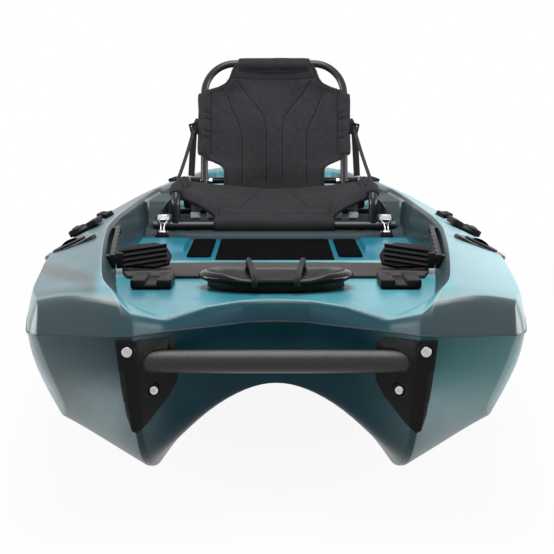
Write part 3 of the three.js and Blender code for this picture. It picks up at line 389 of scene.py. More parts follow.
BOTTOM_BOW = [
    [(40, 352, 300), (26, 346, 300), (14, 334, 300), (5, 270, 300), (3, 214, 300), (6, 200, 300), (40, 160, 300),
     (78, 102, 300), (116, 45, 300), (130, 0, 300)],
    [(64, 357, 300), (74, 354, 262), (88, 331, 230), (36, 268, 244), (6, 208, 250), (9, 197, 250), (43, 160, 250),
     (80, 102, 254), (117, 45, 262), (131, 0, 268)],
    [(100, 364, 300), (120, 363, 232), (160, 316, 156), (80, 266, 184), (12, 204, 206), (15, 194, 206),
     (47, 160, 204), (82, 102, 221), (118, 45, 237), (132, 0, 243)],
    [(140, 371, 300), (160, 368, 222), (205, 332, 136), (120, 262, 137), (24, 198, 149), (27, 189, 149),
     (52, 161, 153), (85, 102, 187), (120, 45, 210), (133, 0, 219)],
    [(180, 378, 300), (205, 375, 215), (255, 344, 124), (165, 266, 109), (60, 194, 104), (62, 186, 104),
     (75, 160, 114), (92, 102, 172), (124, 45, 199), (137, 0, 207)],
]
BOTTOM_PLACES = [(130, 180), (220, 100), (340, 40), (480, 0), (700, 0), (1000, 0), (1400, 0), (1800, 0), (2200, 0),
                 (2600, 0), (2900, 0), (3150, 0), (3320, 0), (3430, 0)]
DECK_BOW = [
    [(40, 352, 300), (26, 346, 300), (14, 334, 300), (5, 270, 300), (3, 214, 300), (6, 200, 300), (40, 160, 300),
     (78, 102, 300), (116, 45, 300), (130, 0, 300)],
    [(52, 355, 300), (34, 347, 322), (19, 332, 346), (9, 268, 357), (9, 216, 336), (11, 200, 325),
     (43, 159, 311), (81, 102, 323), (115, 50, 326), (133, 0, 326)],
    [(66, 358, 300), (56, 353, 324), (40, 339, 349), (28, 280, 361), (16, 218, 348), (20, 203, 333),
     (52, 158, 319), (90, 102, 331), (125, 50, 334), (143, 0, 334)],
    [(100, 364, 300), (95, 361, 323), (85, 350, 348), (75, 298, 361), (56, 234, 359), (64, 221, 344),
     (84, 184, 319), (106, 110, 324), (140, 55, 326), (158, 0, 326)],
]
DECK_PLACES = [(150, 195), (250, 250), *[(s, s) for s in (
    370, 612, 650, 664, 684, 900, 1150, 1335, 1385, 1570, 1586, 1600, 1612, 1690, 1706, 2060, 2078, 2150, 2200,
    2345, 2372, 2395, 2495, 2520, 2548, 2800, 3090, 3120, 3150, 3300, 3430)]]


def bottom_section(station, lead):
    outer = station + lead
    keel, zk, za = keel_place(station), keel_height(station), tunnel_height(station)
    inner = keel - KEEL_FLAT / 2
    xc, zc = chine_width(outer), chine_height(outer)
    arch = [(station, inner * share, blend(za, zk, share * share)) for share in (0.8, 0.51, 0.225, 0)]
    return [
        (outer, seam_width(outer), SEAM_HEIGHT),
        (outer, blend(seam_width(outer), xc, 0.42) + 6, blend(SEAM_HEIGHT, zc, 0.5)),
        (outer, xc, zc),
        (station + lead / 2, (xc + keel) / 2 + 3, blend(zc, zk, 0.5) - 3),
        (station, keel + KEEL_FLAT / 2, zk),
        (station, inner, zk),
        *arch,
    ]


def bottom_rows():
    sections = [bottom_section(*place) for place in BOTTOM_PLACES]
    shares = (1, 0.97, 0.9, 0.78, 0.64, 0.58, 0.45, 0.3, 0.14, 0)
    seam = [(stern_station(STERN_HALF_WIDTH * s), STERN_HALF_WIDTH * s, SEAM_HEIGHT) for s in shares]
    middle = [(blend(a[0], b[0], 0.62) + 8, blend(a[1], b[1], 0.5), blend(a[2], b[2], 1 if i == 0 else 0.42))
              for i, (a, b) in enumerate(zip(sections[-1], seam))]
    return np.array([*BOTTOM_BOW, *sections, middle, seam], float)


def deck_section(outer, inner):
    width = seam_width(outer)
    gunwale = width - gunwale_inset(outer)
    rim, wall = blend(outer, inner, 0.3), blend(outer, inner, 0.6)
    wall_foot = rim_width(wall) - 8 - wall_run(wall)
    floor = floor_height(inner)
    ledge = ledge_height(inner) if 1335 < inner < 2200 else floor_height(wall)
    edge = ledge_edge(inner)
    middle = (gunwale + rim_width(rim)) / 2, (gunwale_height(outer) + rim_height(rim)) / 2 + 4
    return [
        (outer, width, SEAM_HEIGHT),
        (outer, width - 3, SEAM_HEIGHT + 18),
        (outer, gunwale, gunwale_height(outer)),
        (rim, *middle),
        (rim, rim_width(rim), rim_height(rim)),
        (rim, rim_width(rim) - 8, max(rim_height(rim) - 9, floor_height(wall))),
        (wall, wall_foot, ledge),
        (inner, edge, ledge),
        (inner, edge - 8, floor),
        (inner, 0, floor),
    ]


def deck_rows():
    shares = (0.7, 0.6, 0.5, 0.4, 0.36, 0)
    crown = [(stern_station(STERN_HALF_WIDTH * s) - 7, STERN_HALF_WIDTH * s, 357) for s in shares]
    seam = [(stern_station(STERN_HALF_WIDTH * s), STERN_HALF_WIDTH * s, SEAM_HEIGHT)
            for s in (1, 0.97, 0.9, 0.78, *shares)]
    top = [(3462, 201, 300), (3466, 197, 322), (3470, 188, 350), (3479, 165, 355), *crown]
    return np.array([*DECK_BOW, *[deck_section(*place) for place in DECK_PLACES], top, seam], float)


# %% [markdown]
# ## Smooth skins
# The sections are filled in every 45 mm or so along the boat. Across the boat each corner gets a point on
# either side of it, at the radius that the mould has there, and these close points are what holds the corner
# when the surface is subdivided.

# %% Smooth skins
SECTION_STEP = 45
CORNER_REACH = 0.45
SEAM_BEAD = 0.0013
SEAM_PROUD = 0.0004
SEAM_FROM, SEAM_TO = 200, 3420
STERN_LIMIT = 1.7535


def filled(rows, step):
    """More rows between the given ones, along smooth curves."""
    gaps = np.linalg.norm(np.diff(rows, axis=0), axis=2).mean(axis=1)
    places = np.concatenate([[0], np.cumsum(gaps)])
    wanted = [place + gap * k / count for place, gap in zip(places, gaps)
              for count in [max(1, round(gap / step))] for k in range(count)]
    return monotone(places, rows, [*wanted, places[-1]])


def cornered(rows, radii):
    """Points beside each corner line, at its radius, so that the subdivided surface keeps the corner."""
    columns = [rows[:, 0]]
    for c in range(1, rows.shape[1] - 1):
        corner = rows[:, c]
        if radii[c - 1]:
            for side in (-1, 1):
                way = rows[:, c + side] - corner
                length = np.linalg.norm(way, axis=1, keepdims=True)
                beside = corner + way * np.minimum(CORNER_REACH, radii[c - 1] / np.maximum(length, 1e-6))
                if side > 0:
                    columns.append(corner)
                columns.append(beside)
        else:
            columns.append(corner)
    columns.append(rows[:, -1])
    return np.stack(columns, axis=1)


def skin(name, rows, radii):
    half = cornered(filled(rows, SECTION_STEP), radii)
    half = np.stack([half[:, :, 1], half[:, :, 0] - BOW_TO_MIDDLE * 1000, half[:, :, 2]], axis=2) / 1000
    other = half[:, -2::-1] * (-1, 1, 1)
    grid = np.concatenate([half, other], axis=1)
    piece = piece_from(name, grid.reshape(-1, 3), grid_faces(*grid.shape[:2]))
    levels = 2
    apply(piece, "SUBSURF", levels=levels, render_levels=levels, boundary_smooth="PRESERVE_CORNERS")
    for vertex in piece.data.vertices:
        station = vertex.co.y * 1000 + BOW_TO_MIDDLE * 1000
        if abs(vertex.co.z - SEAM_HEIGHT / 1000) < 1e-5 and SEAM_FROM < station < SEAM_TO:
            vertex.co.x = math.copysign(seam_width(station) / 1000 - SEAM_BEAD, vertex.co.x)
        vertex.co.y = min(vertex.co.y, STERN_LIMIT)
    outwards(piece)
    print(name, len(piece.data.polygons), "quads")
    return piece


BOTTOM_RADII = (0, 5, 0, 3, 3, 0, 0, 0)
DECK_RADII = (0, 5, 0, 3, 4, 8, 4, 4)
hull_skin = skin("hull_skin", bottom_rows(), BOTTOM_RADII)
deck_skin = skin("deck_skin", deck_rows(), DECK_RADII)

# %% [markdown]
# ## Openings
# The hatch, the rod holders and the scuppers go through the skin. The faces inside each outline are taken away,
# and the ragged edge that is left is drawn onto the outline, which costs fewer faces than a Boolean would.

# %% Openings


def opened(piece, outline, lowest):
    """Leaves out the faces inside an ellipse seen from above, and draws the rim of the hole onto it."""
    place_x, place_y, wide, long = outline
    shape = bmesh.new()
    shape.from_mesh(piece.data)

    def share(point):
        return math.hypot((point.x - place_x) / wide, (point.y - place_y) / long)

    inside = [face for face in shape.faces
              if share(face.calc_center_median()) < 1 and face.calc_center_median().z > lowest]
    bmesh.ops.delete(shape, geom=inside, context="FACES")
    rim = {v for e in shape.edges if e.is_boundary for v in e.verts}
    for vertex in rim:
        if share(vertex.co) < 1.5 and vertex.co.z > lowest:
            grow = 1 / max(share(vertex.co), 0.2)
            vertex.co.x = place_x + (vertex.co.x - place_x) * grow
            vertex.co.y = place_y + (vertex.co.y - place_y) * grow
    shape.to_mesh(piece.data)
    shape.free()


HATCH_STATION = 305
HATCH_Y = at(HATCH_STATION, 0, 0).y
HATCH_OPENING = (0, HATCH_Y, 0.101, 0.054)
ROD_OPENINGS = ((0.392, -1.0335, 0.03, 0.034), (0.245, 0.692, 0.025, 0.029))
SCUPPERS = ((1500, 196), (2200, 196), (2640, 130))
SCUPPER_RADIUS = 0.015
ABOVE_FLOORS, ABOVE_TUNNEL, EVERYWHERE = 0.31, 0.24, -0.01
opened(deck_skin, HATCH_OPENING, ABOVE_FLOORS)
for side in (1, -1):
    for x, *outline in ROD_OPENINGS:
        opened(deck_skin, (x * side, *outline), ABOVE_FLOORS)
    for station, x in SCUPPERS:
        outline = (x * side / 1000, at(station, 0, 0).y, SCUPPER_RADIUS, SCUPPER_RADIUS)
        opened(deck_skin, outline, ABOVE_TUNNEL)
        opened(hull_skin, outline, EVERYWHERE)
print("openings cut in", hull_skin.name, "and", deck_skin.name)

# %% [markdown]
# ## Seam line and scuppers
# The two halves of the mould leave a fine raised line right around the boat. It is drawn as a thin tube along
# the open edge of the deck skin, and the scuppers get their short pipes with a flared rim at each end.

# %% Seam line and scupper pipes


def tube_piece(name, route, radius, fine=5, closed=False):
    data = bpy.data.curves.new(name, "CURVE")
    data.dimensions = "3D"
    data.bevel_depth = radius
    data.bevel_resolution = fine
    data.use_fill_caps = not closed
    line = data.splines.new("POLY")
    line.points.add(len(route) - 1)
    for point, place in zip(line.points, route):
        point.co = (*place, 1)
    line.use_cyclic_u = closed
    piece = bpy.data.objects.new(name, data)
    bpy.context.scene.collection.objects.link(piece)
    activate(piece)
    bpy.ops.object.convert(target="MESH")
    return outwards(bpy.context.object)


def revolved(name, profile, frame_of, sides):
    """A ring or cap turned from (radius, height) pairs, set up in its own frame."""
    turns = [2 * math.pi * k / sides for k in range(sides)]
    rings = [frame_of @ Vector((radius * math.cos(turn), radius * math.sin(turn), height))
             for radius, height in profile for turn in turns]
    return outwards(piece_from(name, rings, grid_faces(len(profile), sides, closed=True)))


def joined(name, pieces):
    activate(pieces[0])
    for piece in pieces:
        piece.select_set(True)
    bpy.ops.object.join()
    pieces[0].name = name
    return pieces[0]


def edge_loop(piece, height):
    """The open edge of a skin at one height, in order."""
    mesh = piece.data
    counts = {}
    for face in mesh.polygons:
        for key in face.edge_keys:
            counts[key] = counts.get(key, 0) + 1
    after = {}
    for pair_of, count in counts.items():
        if count == 1 and all(abs(mesh.vertices[v].co.z - height) < 1e-4 for v in pair_of):
            for here, there in (pair_of, pair_of[::-1]):
                after.setdefault(here, []).append(there)
    start = next(iter(after))
    loop, last = [start], None
    while True:
        nexts = [v for v in after[loop[-1]] if v != last]
        last = loop[-1]
        if not nexts or nexts[0] == start:
            break
        loop.append(nexts[0])
    return [mesh.vertices[v].co.copy() for v in loop]


seam_route = edge_loop(deck_skin, SEAM_HEIGHT / 1000)
seam_line = tube_piece("seam_line", seam_route, SEAM_BEAD, fine=2, closed=True)
for vertex in seam_line.data.vertices:
    vertex.co.y = min(vertex.co.y, STERN_LIMIT + SEAM_PROUD)
TUNNEL_AT_SCUPPER = {1500: 0.112, 2200: 0.112, 2640: 0.122}
PIPE_FOOT = ((0.0185, -0.0005), (0.0165, 0.0035), (0.0145, 0.01))
PIPE_HEAD = ((0.0145, -0.009), (0.016, -0.002), (0.019, 0.0006))
pipes = []
for side in (1, -1):
    for station, x in SCUPPERS:
        profile = [(radius, TUNNEL_AT_SCUPPER[station] + rise) for radius, rise in PIPE_FOOT]
        profile += [(radius, floor_height(station) / 1000 + rise) for radius, rise in PIPE_HEAD]
        pipes.append(revolved("pipe", profile, Matrix.Translation(at(station, x * side, 0)), 32))
scupper_pipes = joined("scupper_pipes", pipes)
print("seam points", len(seam_route), "pipes", len(SCUPPERS) * 2)

# %% [markdown]
# ## Finishes of the mouldings
# The hull is moulded from two colours of plastic poured together: slate grey at the cheeks and along the outer edges,
# teal inside the deck, and soft swirls where they met. The way that each place faces tells the walls, the rims and
# the front apart, and a slow noise moves every border a little, so that no colour ends in a straight line. Light and
# shade are painted in too: a pale sheen on the bow cheeks, painted highlights along the rim and the bow lip, a
# lighter port side, painted shade on the inner walls and a painted shadow under the seat.

# %% Plastic of the mouldings
SLATE = srgb(58, 73, 77)
GREEN_SLATE_PAINTED_LIGHTER = srgb(60, 102, 103)
SWIRL_TEAL = srgb(36, 86, 94)
CHEEK_PAINTED_SHEEN = srgb(134, 150, 153)
DARK_TEAL = srgb(0, 40, 50)
MID_TEAL = srgb(0, 56, 68)
KEEL_SHADE = srgb(4, 26, 32)
SEA_TEAL = srgb(20, 104, 120)
PALE_TEAL = srgb(82, 156, 168)
DEEP_TEAL = srgb(0, 112, 136)
EDGE_DARK, EDGE_LIGHT = srgb(36, 82, 92), srgb(66, 112, 121)
EDGE_STARBOARD, EDGE_PORT_PAINTED_LIGHT = srgb(10, 54, 64), srgb(138, 182, 190)
EDGE_AFT = srgb(66, 80, 85)
BAND_SLATE = srgb(18, 26, 30)
WALL_SLATE_AND_SHADE = srgb(30, 42, 47)
SEAT_SHADOW_PAINT = srgb(20, 30, 34)
BOW_TEAL, BOW_SLATE = srgb(4, 66, 78), srgb(64, 80, 84)
PAINTED_EDGE_HIGHLIGHT = srgb(150, 160, 162)


def moulded(name, coat, shine):
    """Slate and teal plastic run together: the finish, its place on the boat, a slow swirl and a fine one."""
    finish = Finish(name, SEA_TEAL, Coat_Weight=coat, Specular_IOR_Level=shine)
    x, y, z = finish.axes()
    wander = finish.noise(2.2, 3, 0.55, finish.stretched(1, 0.45, 1.6), 0.6) - 0.5
    fine = finish.noise(16, 4, 0.6, finish.stretched(1, 0.3, 1)) - 0.5
    return finish, abs(x), x, y, z, wander, fine


def closed_moulding(finish, colour, fine, dull=0.0):
    """The faint orange peel of a moulded skin."""
    cloud = finish.noise(420, 2, 0.5)
    pitted = finish.noise(1500, 2, 0.6)
    finish.feed(Base_Color=colour, Roughness=0.30 + 0.10 * fine + 0.05 * cloud + dull)
    return finish.bump(cloud * 0.7 + pitted * 0.3, 0.00022, 0.55)


hull_finish, off, x, y, z, wander, fine = moulded("hull_plastic", 0.03, 0.12)
cheek = (off + 0.10 * wander).step(0.12, 0.26)
# The port side of the hull is green slate: partly its own tone, partly painted lighter for the brighter light on that
# side.
to_port = (x + 0.25 * wander).step(-0.12, 0.34)
outer = hull_finish.mix(to_port, SLATE, GREEN_SLATE_PAINTED_LIGHTER)
face_x, _, _ = hull_finish.normal()
# Painted sheen: outward-facing cheek facets near the bow are painted pale, standing in for the glint of the lamps on
# them.
painted_cheek_sheen = abs(face_x).step(0.35, 0.75) * (0.75 + 1.5 * fine).clamp() * y.step(-0.5, -1.4)
outer = hull_finish.mix(painted_cheek_sheen * 0.8, outer, CHEEK_PAINTED_SHEEN)
centre = hull_finish.mix((fine * 1.2 + 0.5).clamp(), DARK_TEAL, MID_TEAL)
side = hull_finish.mix((wander * 3.2 + 0.35).clamp() * 0.5, outer, SWIRL_TEAL)
colour = hull_finish.mix(cheek, centre, side)
low_bow = z.step(0.21, 0.08) * y.step(-1.25, -1.6)
colour = hull_finish.mix(low_bow * 0.65, colour, KEEL_SHADE)
closed_moulding(hull_finish, colour, fine)

deck_finish, off, x, y, z, wander, fine = moulded("deck_plastic", 0.06, 0.26)
face_x, face_y, _ = deck_finish.normal()
inward = -(face_x * x) / off.most(0.01)
at_bow = y.step(-1.50, -1.58)
wall = (inward + 0.2 * wander).step(0.42, 0.72) * z.step(0.24, 0.30)
wall = wall * y.step(-1.72, -1.60) * (1.0 - y.step(1.2, 1.3))
front = (-face_y).step(0.22, 0.5) * at_bow
# Painted highlights: a pale line along the corner of the rim and along the bow lip.
rim_highlight = inward.step(0.06, 0.22) * inward.step(0.62, 0.42) * z.step(0.325, 0.345)
bow_lip_highlight = (-face_y).step(0.06, 0.18) * (-face_y).step(0.5, 0.3) * at_bow
rim_line = (0.434 + 0.105 * y).least(0.360)
beyond = off - rim_line
gunwale = (beyond + 0.03 * wander).step(-0.012, 0.010)
aft = (y + 0.3 * wander).step(-1.20, -0.35)
band_place = y + 1.42 - (off - 0.36) * 2.6 + 0.25 * wander
band = band_place.step(-0.075, -0.02) * band_place.step(0.09, 0.03)
# Painted shadow: the deck under the seat is painted near black and made rougher, for the shadow that the seat casts.
seat_shadow = y.step(-0.25, -0.17) * y.step(0.42, 0.30) * (1.0 - gunwale)

edges = deck_finish.mix((0.45 + 1.8 * wander).clamp(), EDGE_DARK, EDGE_LIGHT)
edges = deck_finish.mix((0.2 * wander - x).step(0.05, 0.40) * 0.55, edges, EDGE_STARBOARD)
edges = deck_finish.mix(aft * 0.85, edges, EDGE_AFT)
edges = deck_finish.mix((band * (0.35 - x * 0.8).clamp() * 1.3).clamp(), edges, BAND_SLATE)
# Painted light: the port edges are painted pale, for the brighter light and reflection on that side.
edges = deck_finish.mix((x + 0.2 * wander).step(0.05, 0.42) * 0.8, edges, EDGE_PORT_PAINTED_LIGHT)
top = deck_finish.mix((wander * 2.6 + fine * 1.2 + 0.55).clamp(), SEA_TEAL, PALE_TEAL)
floors = deck_finish.mix(z.step(0.32, 0.27), top, DEEP_TEAL)
floors = deck_finish.mix(seat_shadow * 0.95, floors, SEAT_SHADOW_PAINT)
colour = deck_finish.mix(gunwale, floors, edges)
# The inner walls are painted dark slate: partly the slate of the plastic, partly painted shade inside the cockpit.
colour = deck_finish.mix(wall * 0.95, colour, WALL_SLATE_AND_SHADE)
bow_colour = deck_finish.mix((off + 0.08 * wander).step(0.14, 0.26), BOW_TEAL, BOW_SLATE)
colour = deck_finish.mix(front, colour, bow_colour)
colour = deck_finish.mix((rim_highlight * 0.55 + bow_lip_highlight * 0.4).clamp(), colour, PAINTED_EDGE_HIGHLIGHT)
closed_moulding(deck_finish, colour, fine, 0.35 * seat_shadow)
print("finishes of the mouldings:", hull_finish.material.name, deck_finish.material.name)

# %% [markdown]
# ## Finishes of the fittings
# Moulded fittings, coated tubes and steel differ in tone, gloss and grain, but not in how they are built: one
# noise moves the colour and the roughness, and the same one or a finer one makes the bump. Foam, cord and webbing
# have a pattern of their own, and so get a function each.

# %% Finishes of the fittings


def speckled(name, dark, light, rough, grain, cloud=None, relief=None, stretch=None, contrast=None, **constants):
    """Two tones and a roughness of (low, span) that follow a noise; relief is (depth, strength) of the grain."""
    finish = Finish(name, dark, **constants)
    fine = finish.noise(*grain, place=finish.stretched(*stretch) if stretch else None)
    broad = finish.noise(*cloud) if cloud else fine
    share = (fine * contrast[0] + contrast[1]).clamp() if contrast else broad
    finish.feed(Base_Color=finish.mix(share, dark, light), Roughness=rough[0] + rough[1] * broad)
    return finish.bump(fine, *relief) if relief else finish


def foamed(name, dark, light, rough, shine):
    """Closed-cell foam: clouded tone, with its cells as roughness and bump."""
    finish = Finish(name, dark, Specular_IOR_Level=shine)
    cell = finish.noise(800, 2, 0.6)
    cloud = finish.noise(7, 4, 0.6)
    tone = finish.mix((cloud * 0.7 + cell * 0.3).clamp(), dark, light)
    finish.feed(Base_Color=tone, Roughness=rough[0] + rough[1] * cell)
    return finish.bump(cell, 0.0004, 0.8)


def ribbed(name, dark, light, rough, relief, ribs_of, **constants):
    """Cord or webbing: ribs_of makes the weave, from -1 to 1, from the three axes."""
    finish = Finish(name, dark, **constants)
    ribs = ribs_of(*finish.axes())
    tone = finish.mix((ribs * 0.5 + 0.5).clamp(), dark, light)
    finish.feed(Base_Color=tone, Roughness=rough[0] + rough[1] * ribs)
    return finish.bump(ribs, *relief)


def braided(x, y, z):
    return ((x + y + z) * 2400.0).sine() * ((x - y + z) * 2400.0).sine()


seam_finish = speckled("seam_plastic", srgb(18, 28, 32), srgb(44, 62, 66), (0.3, 0.2), (60, 3, 0.6))
black = speckled("black_plastic", srgb(8, 8, 9), srgb(20, 20, 21), (0.34, 0.2), (900, 3, 0.6),
                 cloud=(22, 3, 0.6), relief=(0.00015, 0.6), Specular_IOR_Level=0.1)
gloss = speckled("gloss_black_plastic", srgb(8, 8, 9), srgb(18, 18, 19), (0.14, 0.14), (60, 2),
                 cloud=(30, 3, 0.6), relief=(0.0004, 0.25), Coat_Weight=0.12, Specular_IOR_Level=0.1)
coated = speckled("coated_tube", srgb(16, 16, 18), srgb(32, 32, 34), (0.2, 0.14), (700, 3, 0.65),
                  relief=(0.0002, 0.4), Coat_Weight=0.12, Specular_IOR_Level=0.28)
grip = speckled("bar_grip", srgb(12, 12, 13), srgb(32, 31, 32), (0.26, 0.16), (520, 4, 0.7),
                cloud=(25, 3, 0.6), relief=(0.0009, 0.7), contrast=(1.4, -0.2), Specular_IOR_Level=0.4)
steel = speckled("steel", srgb(158, 159, 163), srgb(210, 210, 213), (0.18, 0.18), (240, 3, 0.6),
                 relief=(0.0001, 0.3), stretch=(1, 9, 1), Metallic=1.0)
pale_buckle = speckled("pale_buckle", srgb(176, 178, 180), srgb(214, 215, 217), (0.35, 0.15), (500, 3, 0.6))
foam = foamed("foam_mat", srgb(54, 52, 52), srgb(86, 82, 81), (0.82, 0.12), 0.08)
# A darker foam for the floor mats: painted shade under the seat, darker than the grey foam of the bow mat.
shade_painted_foam = foamed("dark_foam_mat", srgb(9, 9, 10), srgb(25, 25, 26), (0.6, 0.2), 0.0)
elastic = ribbed("elastic_cord", srgb(16, 16, 17), srgb(38, 38, 39), (0.55, 0.1), (0.0004, 0.7), braided,
                 Specular_IOR_Level=0.12)
webbing = ribbed("webbing", srgb(18, 18, 20), srgb(38, 38, 40), (0.8, 0.08), (0.0003, 0.8),
                 lambda x, y, z: ((x + y * 0.6 + z) * 3000.0).sine(), Specular_IOR_Level=0.25)
pale_webbing = ribbed("pale_webbing", srgb(96, 98, 101), srgb(138, 140, 143), (0.82, 0.06), (0.0003, 0.7),
                      lambda x, y, z: (z * 2600.0).sine() * (x * 2600.0).sine())

# %% [markdown]
# ## Seat fabric
# The seat is sewn from a plain-woven cloth. The weave follows the flat place of each point on its panel, and the
# sewing further down writes how far each point is from a seam, which paints shade into the crease and draws the
# thread.

# %% Seat fabric
WEAVE = 2 * math.pi / 0.0016
STITCH_GAP, STITCHES_PER_METRE = 0.0045, 220.0
CREASE_SHADE_PAINT, THREAD_TONE = srgb(10, 10, 11), srgb(64, 64, 67)


def woven(name, dark, light):
    """Plain weave in the fabric's own flat places, with thread drawn beside each seam."""
    finish = Finish(name, dark, Specular_IOR_Level=0.2)
    flat_x, flat_y, _ = finish.axes(finish.node("ShaderNodeAttribute", out="Vector", attribute_name="flat_place"))
    gap = finish.node("ShaderNodeAttribute", out="Fac", attribute_name="seam_gap")
    run = finish.node("ShaderNodeAttribute", out="Fac", attribute_name="seam_run")
    threads = ((flat_x * WEAVE).sine() * (flat_y * WEAVE).sine()) * 0.5 + 0.5
    cloud = finish.noise(9, 4, 0.6)
    wear = finish.noise(60, 5, 0.75)
    stitches = (run * STITCHES_PER_METRE).fraction().step(0.30, 0.38)
    thread = abs(gap - STITCH_GAP).step(0.0011, 0.0006) * stitches
    # Painted shade: the cloth is darkened in the crease along each seam.
    seam_crease_shade = gap.step(0.0026, 0.0)
    cloth = finish.mix((threads * 0.4 + cloud * 0.4 + wear * 1.1 - 0.5).clamp(), dark, light)
    cloth = finish.mix(seam_crease_shade * 0.8, cloth, CREASE_SHADE_PAINT)
    cloth = finish.mix(thread * 0.35, cloth, THREAD_TONE)
    finish.feed(Base_Color=cloth, Roughness=0.86 + 0.1 * wear)
    return finish.bump(threads * 0.5 + thread + wear * 0.25, 0.0005, 0.8)


fabric = woven("seat_fabric", srgb(24, 24, 26), srgb(52, 52, 56))
finishes = {"hull_plastic": hull_finish, "deck_plastic": deck_finish, "black_plastic": black,
            "gloss_black_plastic": gloss, "elastic_cord": elastic, "coated_tube": coated, "steel": steel,
            "seat_fabric": fabric, "foam_mat": foam}
print("finishes for the record's slots:", len(finishes))

# %% [markdown]
# ## Fittings
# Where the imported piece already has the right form, a copy of it is cleaned up, its sharp edges are rounded a
# little with a Bevel modifier and it is shaded smooth. The body that it moves with is looked up in the record.

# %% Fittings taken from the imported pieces
record = frame["record"]
slot_of = {entry["node"]: entry["material_slot"] for entry in record["subparts"]}
body_of = {name: body for body, names in record["behaviour"]["bodies"].items() for name in names}
for name, slot in slot_of.items():
    node = frame["nodes"][name]
    node.data.materials.clear()
    node.data.materials.append(finishes[slot].material)
SHARP_EDGE = 32


def refined(name, bevel, finish=None):
    """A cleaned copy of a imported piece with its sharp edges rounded."""
    piece = bpy.data.objects.new(name + "_moulded", frame["nodes"][name].data.copy())
    bpy.context.scene.collection.objects.link(piece)
    activate(piece)
    bpy.ops.object.mode_set(mode="EDIT")
    bpy.ops.mesh.select_all(action="SELECT")
    bpy.ops.mesh.remove_doubles(threshold=2e-5)
    bpy.ops.mesh.dissolve_limited(angle_limit=math.radians(0.7))
    bpy.ops.object.mode_set(mode="OBJECT")
    apply(piece, "BEVEL", width=bevel, segments=2, limit_method="ANGLE", angle_limit=math.radians(SHARP_EDGE))
    slot = slot_of[name]
    return finish_piece(piece, finish or finishes[slot], body_of[name], slot, name, angle=40)


def pair(name):
    return [name + "_port", name + "_starboard"]


ROUNDED = {
    0.0026: pair("bow_bracket") + pair("rest_block_bow") + pair("rest_block_side"),
    0.0018: ["stern_handle"] + pair("foot_pedal"),
    0.0008: (pair("foot_track") + pair("gear_track") + pair("seat_latch_base") + pair("rod_cap_front")
             + ["bow_mat", "floor_mat_centre", "drain_plug", "hatch_rim", "hatch_bucket"] + pair("floor_mat")),
    0.0005: (pair("bow_screw_upper") + pair("bow_screw_lower") + pair("seat_latch") + pair("pedal_trigger")
             + pair("backrest_pivot_bolt") + pair("backrest_spacer")),
}
# The floor mats get the darker foam, which paints in the shade under the seat.
for bevel, names in ROUNDED.items():
    for name in names:
        refined(name, bevel, finish=shade_painted_foam if name.startswith("floor_mat") else None)
finish_piece(hull_skin, hull_finish, "hull", "hull_plastic", "hull_bottom")
finish_piece(deck_skin, deck_finish, "hull", "deck_plastic", "deck")
finish_piece(seam_line, seam_finish, "hull", "hull_plastic")
finish_piece(scupper_pipes, deck_finish, "hull", "deck_plastic")
print("fittings rounded", sum(len(names) for names in ROUNDED.values()))

# %% [markdown]
# ## Tubes
# The seat frame, the hoop of the backrest and the bow bar are round tubes. Each follows its route with enough
# sides that its highlight runs as one clean line.

# %% Tubes
BAR_STATION, BAR_HEIGHT, BAR_RADIUS, BAR_HALF_LENGTH = 27, 260, 0.0165, 203
SEAT_TUBE, CROSS_TUBE = 0.0125, 0.010
SEAT_FRONT, SEAT_REAR = 1632, 2110
SEAT_BAR_HEIGHT, SEAT_BAR_HALF_LENGTH = 293, 325
BAR_CAP_LENGTH, BAR_CAP_PROUD = 20, 0.0012
RAIL_HEIGHT, RAIL_OFFSET, RAIL_BEND = 387, 265, 40
HOOP_TUBE, HOOP_OFFSET, HOOP_PIVOT, HOOP_RISE, HOOP_CORNER = 0.011, 210, 2040, 357, 92
HOOP_LEAN = math.radians(12)


def bent(points, radius, steps=14):
    """A route with its inner corners rounded."""
    radius = radius / 1000
    route = [points[0]]
    for before, corner, after in zip(points, points[1:], points[2:]):
        u, v = (before - corner).normalized(), (after - corner).normalized()
        half = u.angle(v) / 2
        centre = corner + (u + v).normalized() * radius / math.sin(half)
        start = corner + u * radius / math.tan(half) - centre
        end = corner + v * radius / math.tan(half) - centre
        turn = start.angle(end)
        for k in range(steps + 1):
            t = k / steps
            route.append(centre + (start * math.sin((1 - t) * turn) + end * math.sin(t * turn)) / math.sin(turn))
    return [*route, points[-1]]


def on_hoop(x, rise, back=0.0):
    return at(HOOP_PIVOT + rise * math.sin(HOOP_LEAN) + back * math.cos(HOOP_LEAN), x,
              RAIL_HEIGHT + rise * math.cos(HOOP_LEAN) - back * math.sin(HOOP_LEAN))


def tube(name, route, radius, node, finish=coated):
    piece = tube_piece(name, route, radius, fine=6)
    return finish_piece(piece, finish, body_of[node], slot_of[node], node, angle=50)


bar = tube_piece("carry_bar", [at(BAR_STATION, x, BAR_HEIGHT) for x in (-BAR_HALF_LENGTH, 0, BAR_HALF_LENGTH)],
                 BAR_RADIUS, fine=14)
finish_piece(bar, grip, "hull", "coated_tube", "bow_handle_bar", angle=50)
hoop_route = bent([on_hoop(-HOOP_OFFSET, -14), on_hoop(-HOOP_OFFSET, HOOP_RISE),
                   on_hoop(HOOP_OFFSET, HOOP_RISE), on_hoop(HOOP_OFFSET, -14)], HOOP_CORNER, 24)
tube("hoop_tube", hoop_route, HOOP_TUBE, "backrest_hoop")
side_route = bent([at(station, RAIL_OFFSET, height) for station, height in (
    (SEAT_FRONT, SEAT_BAR_HEIGHT + 8), (SEAT_FRONT, RAIL_HEIGHT),
    (SEAT_REAR, RAIL_HEIGHT), (SEAT_REAR, SEAT_BAR_HEIGHT + 8))], RAIL_BEND)
for side, flip in (("port", 1), ("starboard", -1)):
    tube("side_tube_" + side, [Vector((p.x * flip, p.y, p.z)) for p in side_route], SEAT_TUBE,
         "seat_side_frame_" + side)
